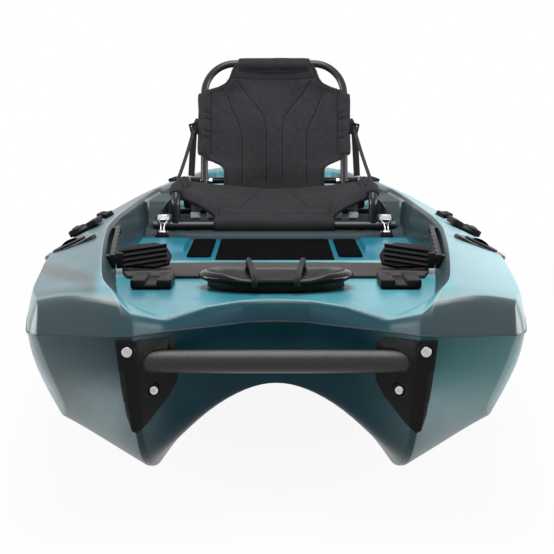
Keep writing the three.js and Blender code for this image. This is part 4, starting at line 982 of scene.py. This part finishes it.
for place, station in (("front", SEAT_FRONT), ("rear", SEAT_REAR)):
    reach = SEAT_BAR_HALF_LENGTH
    stretches = [("bar", -reach, reach, SEAT_TUBE)]
    stretches += [("cap", s * (reach - BAR_CAP_LENGTH), s * reach, SEAT_TUBE + BAR_CAP_PROUD) for s in (1, -1)]
    parts = [tube_piece(name, [at(station, x, SEAT_BAR_HEIGHT) for x in (start, end)], radius, fine=6)
             for name, start, end, radius in stretches]
    finish_piece(joined(place + "_seat_bar", parts), coated, "hull", "coated_tube", f"seat_{place}_bar", angle=50)
tube("cross_tube", [at(SEAT_REAR - 18, x, RAIL_HEIGHT - 2) for x in (1 - RAIL_OFFSET, RAIL_OFFSET - 1)],
     CROSS_TUBE, "seat_cross_tube")
print("hoop points", len(hoop_route), "side tube points", len(side_route))

# %% [markdown]
# ## Rod holders
# A rod holder is an oval flange around a slanted tube. The bore leaves the flange as an oval of its own, so the
# flange is drawn as rings that go over from that oval to the outer one, and the tube is turned on its own axis.

# %% Rod holders
FRONT_ROD = Matrix(((0.91008, 0, 0.41444, 0.39738), (0.00957, 0.99973, -0.02102, -1.04102),
                    (-0.41433, 0.0231, 0.90984, 0.34156), (0, 0, 0, 1)))
REAR_ROD = Matrix.Translation((0.245, 0.69395, 0.3505))
FLIP = Matrix.Scale(-1, 4, (1, 0, 0))
ROD_TILT = math.radians(30)
ROD_SIDES = 56
BORE, BORE_WALL, FLANGE, FLANGE_OVAL = 0.022, 0.026, 0.054, 0.004
FLANGE_PROFILE = ((0.0, 0.001), (0.0, 0.0052), (0.10, 0.0066), (0.30, 0.0056), (0.62, 0.0048), (0.80, 0.0062),
                  (0.94, 0.0055), (1.0, 0.0025), (1.0, -0.001))


def rod_holder(name, seat, tilt, size):
    """Flange and tube; the flange's inner edge is the oval where the slanted bore leaves it."""
    bore, wall, flange = BORE * size, BORE_WALL * size, FLANGE * size
    rings = []
    for share, height in FLANGE_PROFILE:
        for k in range(ROD_SIDES):
            turn = 2 * math.pi * k / ROD_SIDES
            inner = Vector((bore * math.cos(turn), bore / math.cos(tilt) * math.sin(turn), height))
            outer_edge = Vector((flange * math.cos(turn), (flange + FLANGE_OVAL * size) * math.sin(turn), height))
            rings.append(seat @ (inner + (outer_edge - inner) * share))
    plate = outwards(piece_from(name, rings, grid_faces(len(FLANGE_PROFILE), ROD_SIDES, closed=True)))
    slant = seat @ Matrix.Rotation(tilt, 4, "X")
    inside = revolved("bore", [(bore, 0.004), (bore, -0.176), (bore * 0.2, -0.1785)], slant, ROD_SIDES)
    inside.data.flip_normals()
    outside = revolved("tube", [(wall, -0.012), (wall, -0.182), (0.0005, -0.186)], slant, ROD_SIDES)
    return joined(name, [plate, inside, outside])


for side, flip in (("port", Matrix.Identity(4)), ("starboard", FLIP)):
    for place, seat, tilt, size in (("front", FRONT_ROD, ROD_TILT, 1.0), ("rear", REAR_ROD, -ROD_TILT, 0.84)):
        piece = rod_holder(f"rod_holder_{place}_{side}_oval", flip @ seat, tilt, size)
        finish_piece(piece, gloss, "hull", "gloss_black_plastic", f"rod_holder_{place}_{side}", angle=40)
        print(piece.name, len(piece.data.polygons), "faces")

# %% [markdown]
# ## Hatch lid
# The lid is a shallow glossy dish whose two sides rise into smooth lobes, with a finger notch ahead. Its height is
# a formula over the unit circle, which gives smoother lobes than pulling at a few vertices would.

# %% Hatch lid
HATCH_DECK = 324.839
LID_BOTTOM = HATCH_DECK + 12
LID_HALF = Vector((0.125, 0.078))
LID_RINGS, LID_SIDES = 26, 112
POLE = 0.02
LID_UNDERSIDE = ((1.0, 4.5), (0.985, 3.2), (0.95, 3.0), (0.94, 0.4), (0.5, 0.3), (0.02, 0.3))


def lid_height(u, v):
    """Height over the lid's underside, in millimetres, at a place in the unit circle."""
    reach = math.hypot(u, v)
    lobe = max(0.0, min(1.0, (abs(u) - 0.32) / 0.42))
    lobe = lobe * lobe * (3 - 2 * lobe)
    rim = math.exp(-((reach - 0.9) / 0.075) ** 2)
    back = max(0.0, v) ** 2
    return 8.2 + lobe * 5.6 * (1 - max(0.0, reach - 0.75) * 1.3) + rim * (1.0 + 2.2 * lobe) + back * 1.4


rings = []
for r in range(LID_RINGS):
    reach = (r + POLE) / (LID_RINGS - 1 + POLE)
    for k in range(LID_SIDES):
        turn = 2 * math.pi * k / LID_SIDES
        u, v = reach * math.cos(turn), reach * math.sin(turn)
        notch = 1 - 0.10 * math.exp(-((turn / math.pi - 1.5) / 0.10) ** 2) * reach
        drop = 3.2 * max(0.0, (reach - 0.965) / 0.035) ** 2
        rings.append(Vector((u * LID_HALF.x, HATCH_Y + v * notch * LID_HALF.y,
                             (LID_BOTTOM + lid_height(u, v * notch) - drop) / 1000)))
edge = rings[-LID_SIDES:]
for inset, height in LID_UNDERSIDE:
    rings += [Vector((p.x * inset, HATCH_Y + (p.y - HATCH_Y) * inset, (LID_BOTTOM + height) / 1000)) for p in edge]
faces = grid_faces(len(rings) // LID_SIDES, LID_SIDES, closed=True)
faces += [tuple(range(LID_SIDES)), tuple(range(len(rings) - LID_SIDES, len(rings)))]
lid = outwards(piece_from("hatch_lid_dish", rings, faces))
finish_piece(lid, gloss, "hatch_lid", "gloss_black_plastic", "hatch_lid", angle=50)
print("lid faces", len(lid.data.polygons))

# %% [markdown]
# ## Hatch straps
# Two elastic straps run over the lid, from its front lip to a button on the deck behind it, and their last stretch
# drops from the lid to the deck.

# %% Hatch straps


def smooth_route(points, count=40):
    """A smooth line through a few points."""
    places = np.concatenate([[0], np.cumsum([(b - a).length for a, b in zip(points, points[1:])])])
    found = monotone(places, np.array([tuple(p) for p in points]), np.linspace(0, places[-1], count))
    return [Vector(p) for p in found]


LID_FRONT, LID_REAR, LID_TOP = HATCH_STATION - 78, HATCH_STATION + 82, LID_BOTTOM + 15.5
STRAP_RADIUS = 0.0047
STRAP_AT_LIP, STRAP_AT_BUTTON = 33, 46
STRAP_ROUTE = ((LID_FRONT + 1, STRAP_AT_LIP, LID_BOTTOM + 1), (LID_FRONT - 2, STRAP_AT_LIP, LID_BOTTOM + 7),
               (LID_FRONT + 6, 34, LID_TOP - 3), (LID_FRONT + 26, 36, LID_TOP + 1), (HATCH_STATION, 39, LID_TOP + 2),
               (LID_REAR - 24, 45, LID_TOP + 8), (LID_REAR - 4, STRAP_AT_BUTTON, LID_TOP + 2),
               (LID_REAR + 1, STRAP_AT_BUTTON, HATCH_DECK + 8))
BUTTON_PROFILE = ((0.001, -0.001), (0.009, 0), (0.0095, 0.004), (0.006, 0.009), (0.001, 0.0095))
for side, flip in (("port", 1), ("starboard", -1)):
    route = smooth_route([at(station, x * flip, height) for station, x, height in STRAP_ROUTE])
    strap = tube_piece("strap", route, STRAP_RADIUS, fine=4)
    button = revolved("button", BUTTON_PROFILE,
                      Matrix.Translation(at(LID_REAR + 2, STRAP_AT_BUTTON * flip, HATCH_DECK + 1)), 24)
    band = finish_piece(joined("hatch_strap_band_" + side, [strap, button]), elastic, None, "elastic_cord",
                        "hatch_strap_" + side, angle=50)
    tuple(at(LID_REAR - 2, STRAP_AT_BUTTON * flip, HATCH_DECK))
    tuple(at(LID_REAR - 34, STRAP_AT_BUTTON * flip, HATCH_DECK))
    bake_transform(band)
print("strap points", len(route))

# %% [markdown]
# ## Paddle keepers
# On each side deck an elastic cord with a toggle holds a paddle down. Its route lies a few millimetres over the
# smooth deck, which a ray sent down onto it finds, and a ladder clip sits where the cord is doubled.

# %% Paddle keepers
deck_tree = BVHTree.FromPolygons([vertex.co for vertex in deck_skin.data.vertices],
                                 [tuple(face.vertices) for face in deck_skin.data.polygons])
KEEPER_ROUTE = ((1082, 442, 7), (1108, 435, 9), (1140, 424, 8), (1185, 413, 7), (1228, 401, 9), (1268, 391, 7))
KEEPER_RADIUS = 0.0052
TOGGLE_PROFILE = ((0.001, -0.021), (0.009, -0.0205), (0.0125, -0.016), (0.0125, -0.006), (0.0105, 0),
                  (0.0125, 0.006), (0.0125, 0.015), (0.009, 0.0195), (0.001, 0.02))
FOOT_PROFILE = ((0.001, -0.016), (0.0085, -0.016), (0.0095, -0.006), (0.006, -0.001), (0.001, 0))
QUARTER_TURN = Matrix.Rotation(math.radians(90), 4, "X")
BUCKLE_VOXEL = 0.0011


def on_deck(station, x, lift):
    """The point that far over the deck, in millimetres, as the smooth skin lies there."""
    above = at(station, x, 700)
    found, _, _, _ = deck_tree.ray_cast(above, Vector((0, 0, -1)))
    return found + Vector((0, 0, lift / 1000))


def buckle(name, centre, size, turn):
    """A ladder buckle: a frame with two slots, its edges rounded."""
    wide, tall, thick, bar_width = size
    parts = []
    bars = [(0, s * (tall - bar_width) / 2, wide, bar_width) for s in (1, -1)] + [(0, 0, wide, bar_width)]
    bars += [(s * (wide - bar_width) / 2, 0, bar_width, tall) for s in (1, -1)]
    for x, z, w, h in bars:
        bpy.ops.mesh.primitive_cube_add(size=1)
        part = bpy.context.object
        part.data.transform(Matrix.Translation(centre) @ turn @ Matrix.Translation((x, 0, z))
                            @ Matrix.Diagonal((w, thick, h, 1)))
        parts.append(part)
    piece = joined(name, parts)
    apply(piece, "REMESH", mode="VOXEL", voxel_size=BUCKLE_VOXEL)
    return apply(piece, "SMOOTH", factor=0.5, iterations=3)


for side, flip in (("port", 1), ("starboard", -1)):
    route = smooth_route([on_deck(station, x * flip, lift) for station, x, lift in KEEPER_ROUTE])
    band = tube_piece("band", route, KEEPER_RADIUS, fine=4)
    toggle = revolved("toggle", TOGGLE_PROFILE, Matrix.Translation(route[0]) @ QUARTER_TURN, 28)
    feet = [revolved("foot", FOOT_PROFILE, Matrix.Translation(point), 24) for point in (route[0], route[-1])]
    finish_piece(joined("paddle_keeper_band_" + side, [band, toggle, *feet]), elastic, "hull", "elastic_cord",
                 "paddle_keeper_" + side, angle=50)
    way = (route[-6] - route[-14]).normalized()
    turn = way.to_track_quat("Y", "Z").to_matrix().to_4x4()
    clip = buckle("paddle_clip_" + side, route[-10] + Vector((0, 0, 0.001)), (0.024, 0.034, 0.011, 0.008),
                  turn @ QUARTER_TURN)
    finish_piece(clip, black, "hull", "black_plastic", angle=50)
print("keeper points", len(route))

# %% [markdown]
# ## Rings round the bracket screws
# Each screw of the bow brackets sits in a shallow round recess. A low ring turned about the screw's own axis gives
# the rounded lip of that recess.

# %% Rings round the bracket screws
RING_PROFILE = ((0.0006, 0.0006), (0.0012, 0.0020), (0.0028, 0.0024), (0.0042, 0.0014), (0.0048, -0.0010))
RING_BEHIND_HEAD = 0.0034
for side in ("port", "starboard"):
    for name in ("bow_screw_upper_", "bow_screw_lower_"):
        low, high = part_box(name + side)
        middle, head = (low + high) / 2, (high.x - low.x) / 2
        seat = Matrix.Translation((middle.x, low.y + RING_BEHIND_HEAD, middle.z)) @ QUARTER_TURN
        ring = revolved("screw_ring_" + name + side, [(head + wide, rise) for wide, rise in RING_PROFILE], seat, 36)
        finish_piece(ring, black, "hull", "black_plastic", angle=50)
        print(ring.name, "round a head of", round(head * 2000, 1), "mm")

# %% [markdown]
# ## Sewing
# The backrest and the pan are padded fabric laced over the tubes. A thin slab, its sleeves and its rolled front
# are fused with a voxel Remesh and smoothed, which rounds every hem. The seams are pressed in afterwards, and
# the cloth swells a little between them. How far each point is from a seam is kept as an attribute, so that the
# finish can draw the stitches.

# %% Sewing helpers
SEAM_DEPTH = 0.0031
SEAM_HALF_WIDTH = 0.0030
SWELL_REACH = 0.02
CLOTH_SWELL, CLOTH_CREASE = 0.0028, 0.0022
CLOTH_THICKNESS = 0.0085
CLOTH_VOXEL = 0.003
CLOTH_SMOOTHING = 5
FAR_AWAY = 9.0


def slab(name, rows):
    points = [point for row in rows for point in row]
    piece = piece_from(name, points, grid_faces(len(rows), len(rows[0])))
    return apply(piece, "SOLIDIFY", thickness=CLOTH_THICKNESS, offset=0)


def fused(name, pieces):
    piece = joined(name, pieces)
    apply(piece, "REMESH", mode="VOXEL", voxel_size=CLOTH_VOXEL * 1)
    return apply(piece, "SMOOTH", factor=0.5, iterations=CLOTH_SMOOTHING)


def nearest_on(line, places):
    """Distance from each place to a line of points, and how far along the line that is."""
    line = np.asarray(line, float) / 1000
    gap, run, travelled = np.full(len(places), FAR_AWAY), np.zeros(len(places)), 0.0
    for start, end in zip(line, line[1:]):
        way = end - start
        length = np.linalg.norm(way)
        share = np.clip((places - start) @ way / length ** 2, 0, 1)
        distance = np.linalg.norm(places - start - share[:, None] * way, axis=1)
        run = np.where(distance < gap, travelled + share * length, run)
        gap = np.minimum(gap, distance)
        travelled += length
    return gap, run


def read(mesh, what):
    values = np.empty(len(mesh.vertices) * 3)
    mesh.vertices.foreach_get(what, values)
    return values.reshape(-1, 3)


def folded(x, y, z):
    """Soft folds of the cloth, about 0.1 m apart, with finer ones in them."""
    return noise.noise(Vector((x * 9, y * 15, z * 9))) + 0.4 * noise.noise(Vector((x * 28, y * 34, z * 28)))


def sewn(piece, flat_of, seams):
    """Presses the seams in, lets the cloth swell between them and adds soft folds."""
    mesh = piece.data
    place, normal = read(mesh, "co"), read(mesh, "normal")
    flat = flat_of(place)
    gap, run = np.full(len(place), FAR_AWAY), np.zeros(len(place))
    for seam in seams:
        distance, along = nearest_on(seam, flat)
        run = np.where(distance < gap, along, run)
        gap = np.minimum(gap, distance)
    folds = np.array([folded(*point) for point in place])
    swell = CLOTH_SWELL * (1 - np.exp(-(gap / SWELL_REACH) ** 2))
    lift = swell - SEAM_DEPTH * np.exp(-(gap / SEAM_HALF_WIDTH) ** 2)
    place = place + normal * (lift + CLOTH_CREASE * folds)[:, None]
    mesh.vertices.foreach_set("co", place.ravel())
    for name, values in (("seam_gap", gap), ("seam_run", run)):
        mesh.attributes.new(name, "FLOAT", "POINT").data.foreach_set("value", values)
    flat_place = np.column_stack([flat, np.zeros(len(flat))])
    mesh.attributes.new("flat_place", "FLOAT_VECTOR", "POINT").data.foreach_set("vector", flat_place.ravel())
    mesh.update()
    return piece


def both_sides(lines):
    return [*lines, *[[(-x, y) for x, y in line] for line in lines]]


print("seams", SEAM_DEPTH, "m deep in cloth of", CLOTH_THICKNESS, "m")

# %% [markdown]
# ## Backrest
# The backrest is one sling of cloth on the hoop. It is narrow at the header that wraps the top tube, widest between
# the pockets on the side tubes and narrower again below them. It sags a little behind the hoop, with a low rise
# where the back rests. On each half, two curved seams run down to the lower edge, and four short ones cross the
# pocket.

# %% Backrest
SLING_COLUMNS, SLING_ROWS = 36, 66
SLING_LOWEST, SLING_HIGHEST = -22, 358
POCKET_RADIUS, HEADER_RADIUS = 0.0165, 0.0155
HEM_INSET = 8
sling_width = curve([(-24, 150), (34, 151), (48, 166), (60, 194), (76, 214), (262, 216), (271, 208), (282, 178),
                     (292, 152), (306, 138), (340, 124), (366, 108)])


def sling_point(side, rise):
    lumbar = 16 * math.sin(math.pi * max(0.0, min(1.0, rise / 300)))
    sag = 26 * (1 - side * side) - lumbar * (1 - abs(side))
    return on_hoop(side * sling_width(rise), rise, sag - 4 - 7 * side ** 4)


sling_rows = [[sling_point(k / SLING_COLUMNS, rise) for k in range(-SLING_COLUMNS, SLING_COLUMNS + 1)]
              for rise in np.linspace(SLING_LOWEST, SLING_HIGHEST, SLING_ROWS)]
sling_parts = [slab("sling", sling_rows)]
for side in (1, -1):
    pocket = [on_hoop((HOOP_OFFSET + 1.5) * side, rise, -1) for rise in (80, 120, 170, 220, 263)]
    sling_parts.append(tube_piece("pocket", pocket, POCKET_RADIUS))
header = [on_hoop(x, HOOP_RISE - 0.5, 0) for x in (-107, -50, 0, 50, 107)]
sling_parts.append(tube_piece("header", header, HEADER_RADIUS))
backrest = fused("backrest_fabric", sling_parts)


def sling_flat(place):
    pivot = np.array(at(HOOP_PIVOT, 0, RAIL_HEIGHT))
    rel = place - pivot
    return np.column_stack([rel[:, 0], rel[:, 1] * math.sin(HOOP_LEAN) + rel[:, 2] * math.cos(HOOP_LEAN)])


inner_seam = [(109, 300), (84, 266), (56, 232), (37, 206), (27, 182), (24, 150), (24, -12)]
outer_seam = [(142, 262), (126, 214), (110, 182), (100, 155), (97, 120), (97, -12)]
pocket_seam = [(190, 266), (190, 78)]
loops = [[(190, rise), (208, rise)] for rise in (128, 148, 186, 206)]
hems = [[(sling_width(rise) - HEM_INSET, rise) for rise in range(low, high, 8)]
        for low, high in ((270, 358), (-20, 80))]
header_seams = [[(-118, 313), (118, 313)], [(-104, 334), (104, 334)]]
sewn(backrest, sling_flat, both_sides([inner_seam, outer_seam, pocket_seam, *loops, *hems]) + header_seams)
finish_piece(backrest, fabric, "backrest", "seat_fabric", "backrest_sling", angle=70)
print("backrest faces", len(backrest.data.polygons))

# %% [markdown]
# ## Seat pan
# The pan has a sleeve along each side tube and a roll round the front bar. Its middle hangs lower than the tubes and
# sinks towards the front. There the middle lies flat, the sides climb steeply to the tubes, and the corners are
# drawn back.

# %% Seat pan
PAN_REAR, PAN_FRONT = 1990, 1634
PAN_COLUMNS, PAN_ROWS = 44, 72
SLEEVE_PROUD, ROLL_PROUD = 0.0035, 0.0055
SLEEVE_LOWEST = 0.374
pan_centre = curve([(1630, 307), (1660, 319), (1700, 327), (1850, 345), (1990, 366)])


def pan_point(side, station):
    share = abs(side)
    frontness = max(0.0, min(1.0, (1790 - station) / 130))
    wide = share * share
    tight = max(0.0, (share - 0.59) / 0.41) ** 0.6
    edge = RAIL_HEIGHT + 4 - 26 * max(0.0, (1668 - station) / 36) ** 1.5
    place = at(station, side * RAIL_OFFSET, blend(pan_centre(station), edge, blend(wide, tight, frontness)))
    place.y += 0.030 * frontness * max(0.0, share - 0.60) * 2.4
    return place


pan_rows = [[pan_point(k / PAN_COLUMNS, station) for k in range(-PAN_COLUMNS, PAN_COLUMNS + 1)]
            for station in np.linspace(PAN_FRONT, PAN_REAR, PAN_ROWS)]
pan_parts = [slab("pan", pan_rows)]
for side in (1, -1):
    sleeve = [Vector((p.x * side, p.y, p.z)) for p in side_route
              if p.z > SLEEVE_LOWEST and p.y < at(PAN_REAR, 0, 0).y]
    sleeve.append(at(PAN_REAR, RAIL_OFFSET * side, RAIL_HEIGHT))
    pan_parts.append(tube_piece("sleeve", sleeve, SEAT_TUBE + SLEEVE_PROUD))
front_roll = [at(SEAT_FRONT, x, SEAT_BAR_HEIGHT) for x in (-161, -80, 0, 80, 161)]
pan_parts.append(tube_piece("front_roll", front_roll, SEAT_TUBE + ROLL_PROUD, fine=6))
pan = fused("seat_pan_fabric", pan_parts)


def pan_flat(place):
    return np.column_stack([place[:, 0], place[:, 1] + BOW_TO_MIDDLE])


pan_seams = both_sides([[(48, 1930), (70, 1820), (95, 1702)], [(242, 1700), (242, PAN_REAR - 5)],
                        [(160, 1650), (176, 1690), (222, 1706)], [(150, 1640), (150, 1700)]])
pan_seams += [[(-half, station), (half, station)]
              for half, station in ((160, 1702), (160, 1655), (240, PAN_REAR - 9))]
sewn(pan, pan_flat, pan_seams)
finish_piece(pan, fabric, "hull", "seat_fabric", "seat_pan", angle=70)
print("pan faces", len(pan.data.polygons))

# %% [markdown]
# ## Webbing straps
# Flat webbing is a ribbon along a route. On each side one strap runs forward from the ladder buckle to the side tube
# and a wider one runs down to it. A short tab joins the buckle to the backrest.

# %% Webbing straps
WEBBING_EDGE = ((-0.5, -0.3), (-0.5, 0.3), (-0.44, 0.5), (0.44, 0.5),
                (0.5, 0.3), (0.5, -0.3), (0.44, -0.5), (-0.44, -0.5))
UP, FORWARD = Vector((0, 0, 1)), Vector((0, -1, 0))


def ribbon(name, route, width, thickness, facing):
    """Flat webbing: facing is the way that its broad side looks."""
    points = []
    for k, point in enumerate(route):
        along = (route[min(k + 1, len(route) - 1)] - route[max(k - 1, 0)]).normalized()
        across = along.cross(facing).normalized()
        out = across.cross(along).normalized()
        points += [point + across * width * a + out * thickness * b for a, b in WEBBING_EDGE]
    corners, total = len(WEBBING_EDGE), len(points)
    faces = grid_faces(len(route), corners, closed=True)
    faces += [tuple(range(corners)), tuple(range(total - corners, total))]
    return outwards(piece_from(name, points, faces))


def sagging(start, end, drop, count=14):
    return [start.lerp(end, k / count) + Vector((0, 0, -drop * math.sin(math.pi * k / count)))
            for k in range(count + 1)]


def loop_round(place, radius, count=16):
    """A ring of webbing round a side tube, which the strap leaves at the top."""
    return [place + Vector((radius * math.sin(turn), 0, radius * math.cos(turn)))
            for turn in np.linspace(0.0, 2 * math.pi, count)]


for side, flip in (("port", 1), ("starboard", -1)):
    mirror = Matrix.Scale(flip, 4, (1, 0, 0))
    upward = mirror @ Vector((0.25, -0.2, 1))
    ahead = mirror @ Vector((0.25, -1, 0.1))
    top = mirror @ on_hoop(241, 156, -8)
    tab = mirror @ on_hoop(226, 186, -4)
    foot = mirror @ at(1702, 266, 404)
    heel = mirror @ at(2092, 252, 399)
    turn = Matrix.Rotation(math.radians(14 * flip), 4, "Y") @ Matrix.Rotation(math.radians(-12), 4, "X")
    forward = ribbon("forward_strap", sagging(foot, top, 0.006), 0.011, 0.002, upward)
    ring = ribbon("ring", loop_round(mirror @ at(1702, 265, 387), 0.0185), 0.016, 0.0018, UP)
    forward = joined("recline_strap_front_" + side, [forward, ring])
    finish_piece(forward, webbing, None, "seat_fabric", "recline_strap_" + side, angle=50)
    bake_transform(forward)
    down = ribbon("recline_strap_down_" + side, sagging(heel, top, -0.004), 0.020, 0.002, ahead)
    finish_piece(down, webbing, None, "seat_fabric", angle=50)
    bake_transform(down)
    tab_band = ribbon("recline_tab_" + side, [tab, tab.lerp(top, 0.5), top], 0.021, 0.0022, ahead)
    finish_piece(tab_band, webbing, "backrest", "seat_fabric", angle=50)
    piece = buckle("ladder_buckle_" + side, top, (0.026, 0.036, 0.006, 0.006), turn)
    finish_piece(piece, black, "backrest", "black_plastic", angle=50)
    print(forward.name, down.name, tab_band.name, piece.name)

# %% [markdown]
# ## Lashings under the pan
# On each side, two short pale straps with pale buckles hang from the underside of the pan, a little behind the front
# bar and outside of the roll.

# %% Lashings under the pan
LASHING_WIDTH = 0.022
LASHING_BUCKLE = (0.027, 0.016, 0.006, 0.0045)
for side, flip in (("port", 1), ("starboard", -1)):
    for place, x in (("outer", 214), ("inner", 170)):
        top = at(1676, x * flip, pan_point(x / RAIL_OFFSET, 1676).z * 1000 - 4)
        low = at(1668, x * flip, 316)
        route = [top, top.lerp(low, 0.5), low, at(1672, x * flip, 303)]
        band = ribbon(f"lashing_{place}_{side}", route, LASHING_WIDTH, 0.002, FORWARD)
        finish_piece(band, pale_webbing, "hull", "seat_fabric", angle=50)
        clasp = buckle(f"lashing_buckle_{place}_{side}", at(1664, x * flip, 318), LASHING_BUCKLE, Matrix.Identity(4))
        finish_piece(clasp, pale_buckle, "hull", "black_plastic", angle=50)
        print(band.name, clasp.name)

# %% [markdown]
# ## Paper floor
# The photograph is a cut-out on white. The floor is white paper: the camera and every reflection see it mostly as
# plain white, a share that grows with the distance from the boat, and the rest keeps the shadow.

# %% Paper floor
PAPER = (0.6, 0.6, 0.6, 1)
WHITE_NEAR, WHITE_GAIN = 0.92, 0.08


def seen_directly(tree):
    """1 for what the camera sees, also in a reflection or through glass, and 0 for the light on the boat."""
    path = tree.nodes.new("ShaderNodeLightPath")
    rays = ("Is Camera Ray", "Is Glossy Ray", "Is Transmission Ray")
    camera_ray, glossy_ray, through = [Signal(tree, path.outputs[name]) for name in rays]
    return camera_ray.most(glossy_ray).most(through)


floor = piece_from("floor", [(-30, -12, 0), (30, -12, 0), (30, 60, 0), (-30, 60, 0)], [(0, 1, 2, 3)])
floor_finish = Finish("floor_paper", PAPER)
floor_tree = floor_finish.tree
x, y, _ = floor_finish.axes()
fibres = floor_finish.noise(90, 2, 0.5)
floor_finish.feed(Roughness=0.9 + 0.08 * fibres)
away = ((x * x + y * y * 0.22) ** 0.5).step(0.35, 1.5)
white = floor_finish.node("ShaderNodeEmission", {"Color": (1, 1, 1, 1), "Strength": 1.0})
white_share = seen_directly(floor_tree) * (WHITE_NEAR + WHITE_GAIN * away)
paper = Signal(floor_tree, floor_finish.shader.outputs[0])
blended = floor_finish.node("ShaderNodeMixShader", {0: white_share, 1: paper, 2: white})
plug(floor_tree, floor_tree.nodes["Material Output"].inputs["Surface"], blended)
floor.data.materials.append(floor_finish.material)
print("floor", floor.name)

# %% [markdown]
# ## Lamps and room
# A broad lamp overhead lights the decks, and one at each side brings out the cheeks and the rims. A weak one ahead
# lifts the bow a little. The room is white to the camera and in reflections, and gives the boat only a dim fill.

# %% Lamps and room
LAMPS = {"top_softbox": ((0, -1.2, 3.2), (0, -0.6, 0.2), (1.8, 3.6), 135),
         "left_softbox": ((-3.0, -1.35, 0.55), (-0.4, -1.2, 0.2), (2.4, 1.4), 110),
         "right_softbox": ((3.0, -1.35, 0.55), (0.4, -1.2, 0.2), (2.4, 1.4), 110),
         "front_softbox": ((0, -6.0, 2.6), (0, -1.5, 0.2), (2.4, 1.2), 6)}
AMBIENT = 0.16

for name, (place, target, size, power) in LAMPS.items():
    data = bpy.data.lights.new(name, "AREA")
    data.shape = "RECTANGLE"
    data.size, data.size_y = size
    data.energy = power
    lamp = bpy.data.objects.new(name, data)
    lamp.location = place
    lamp.rotation_euler = (Vector(target) - Vector(place)).to_track_quat("-Z", "Y").to_euler()
    bpy.context.scene.collection.objects.link(lamp)

world = bpy.data.worlds.new("white_room")
bpy.context.scene.world = world
world.use_nodes = True
room = world.node_tree
background = room.nodes["Background"]
background.inputs["Color"].default_value = (1, 1, 1, 1)
plug(room, background.inputs["Strength"], seen_directly(room) * (1 - AMBIENT) + AMBIENT)
print("lamps", *LAMPS)

# %% [markdown]
# ## Output
# Colours are shown as they are written.

# %% Output settings
scene = bpy.context.scene
scene.view_settings.view_transform = "Standard"
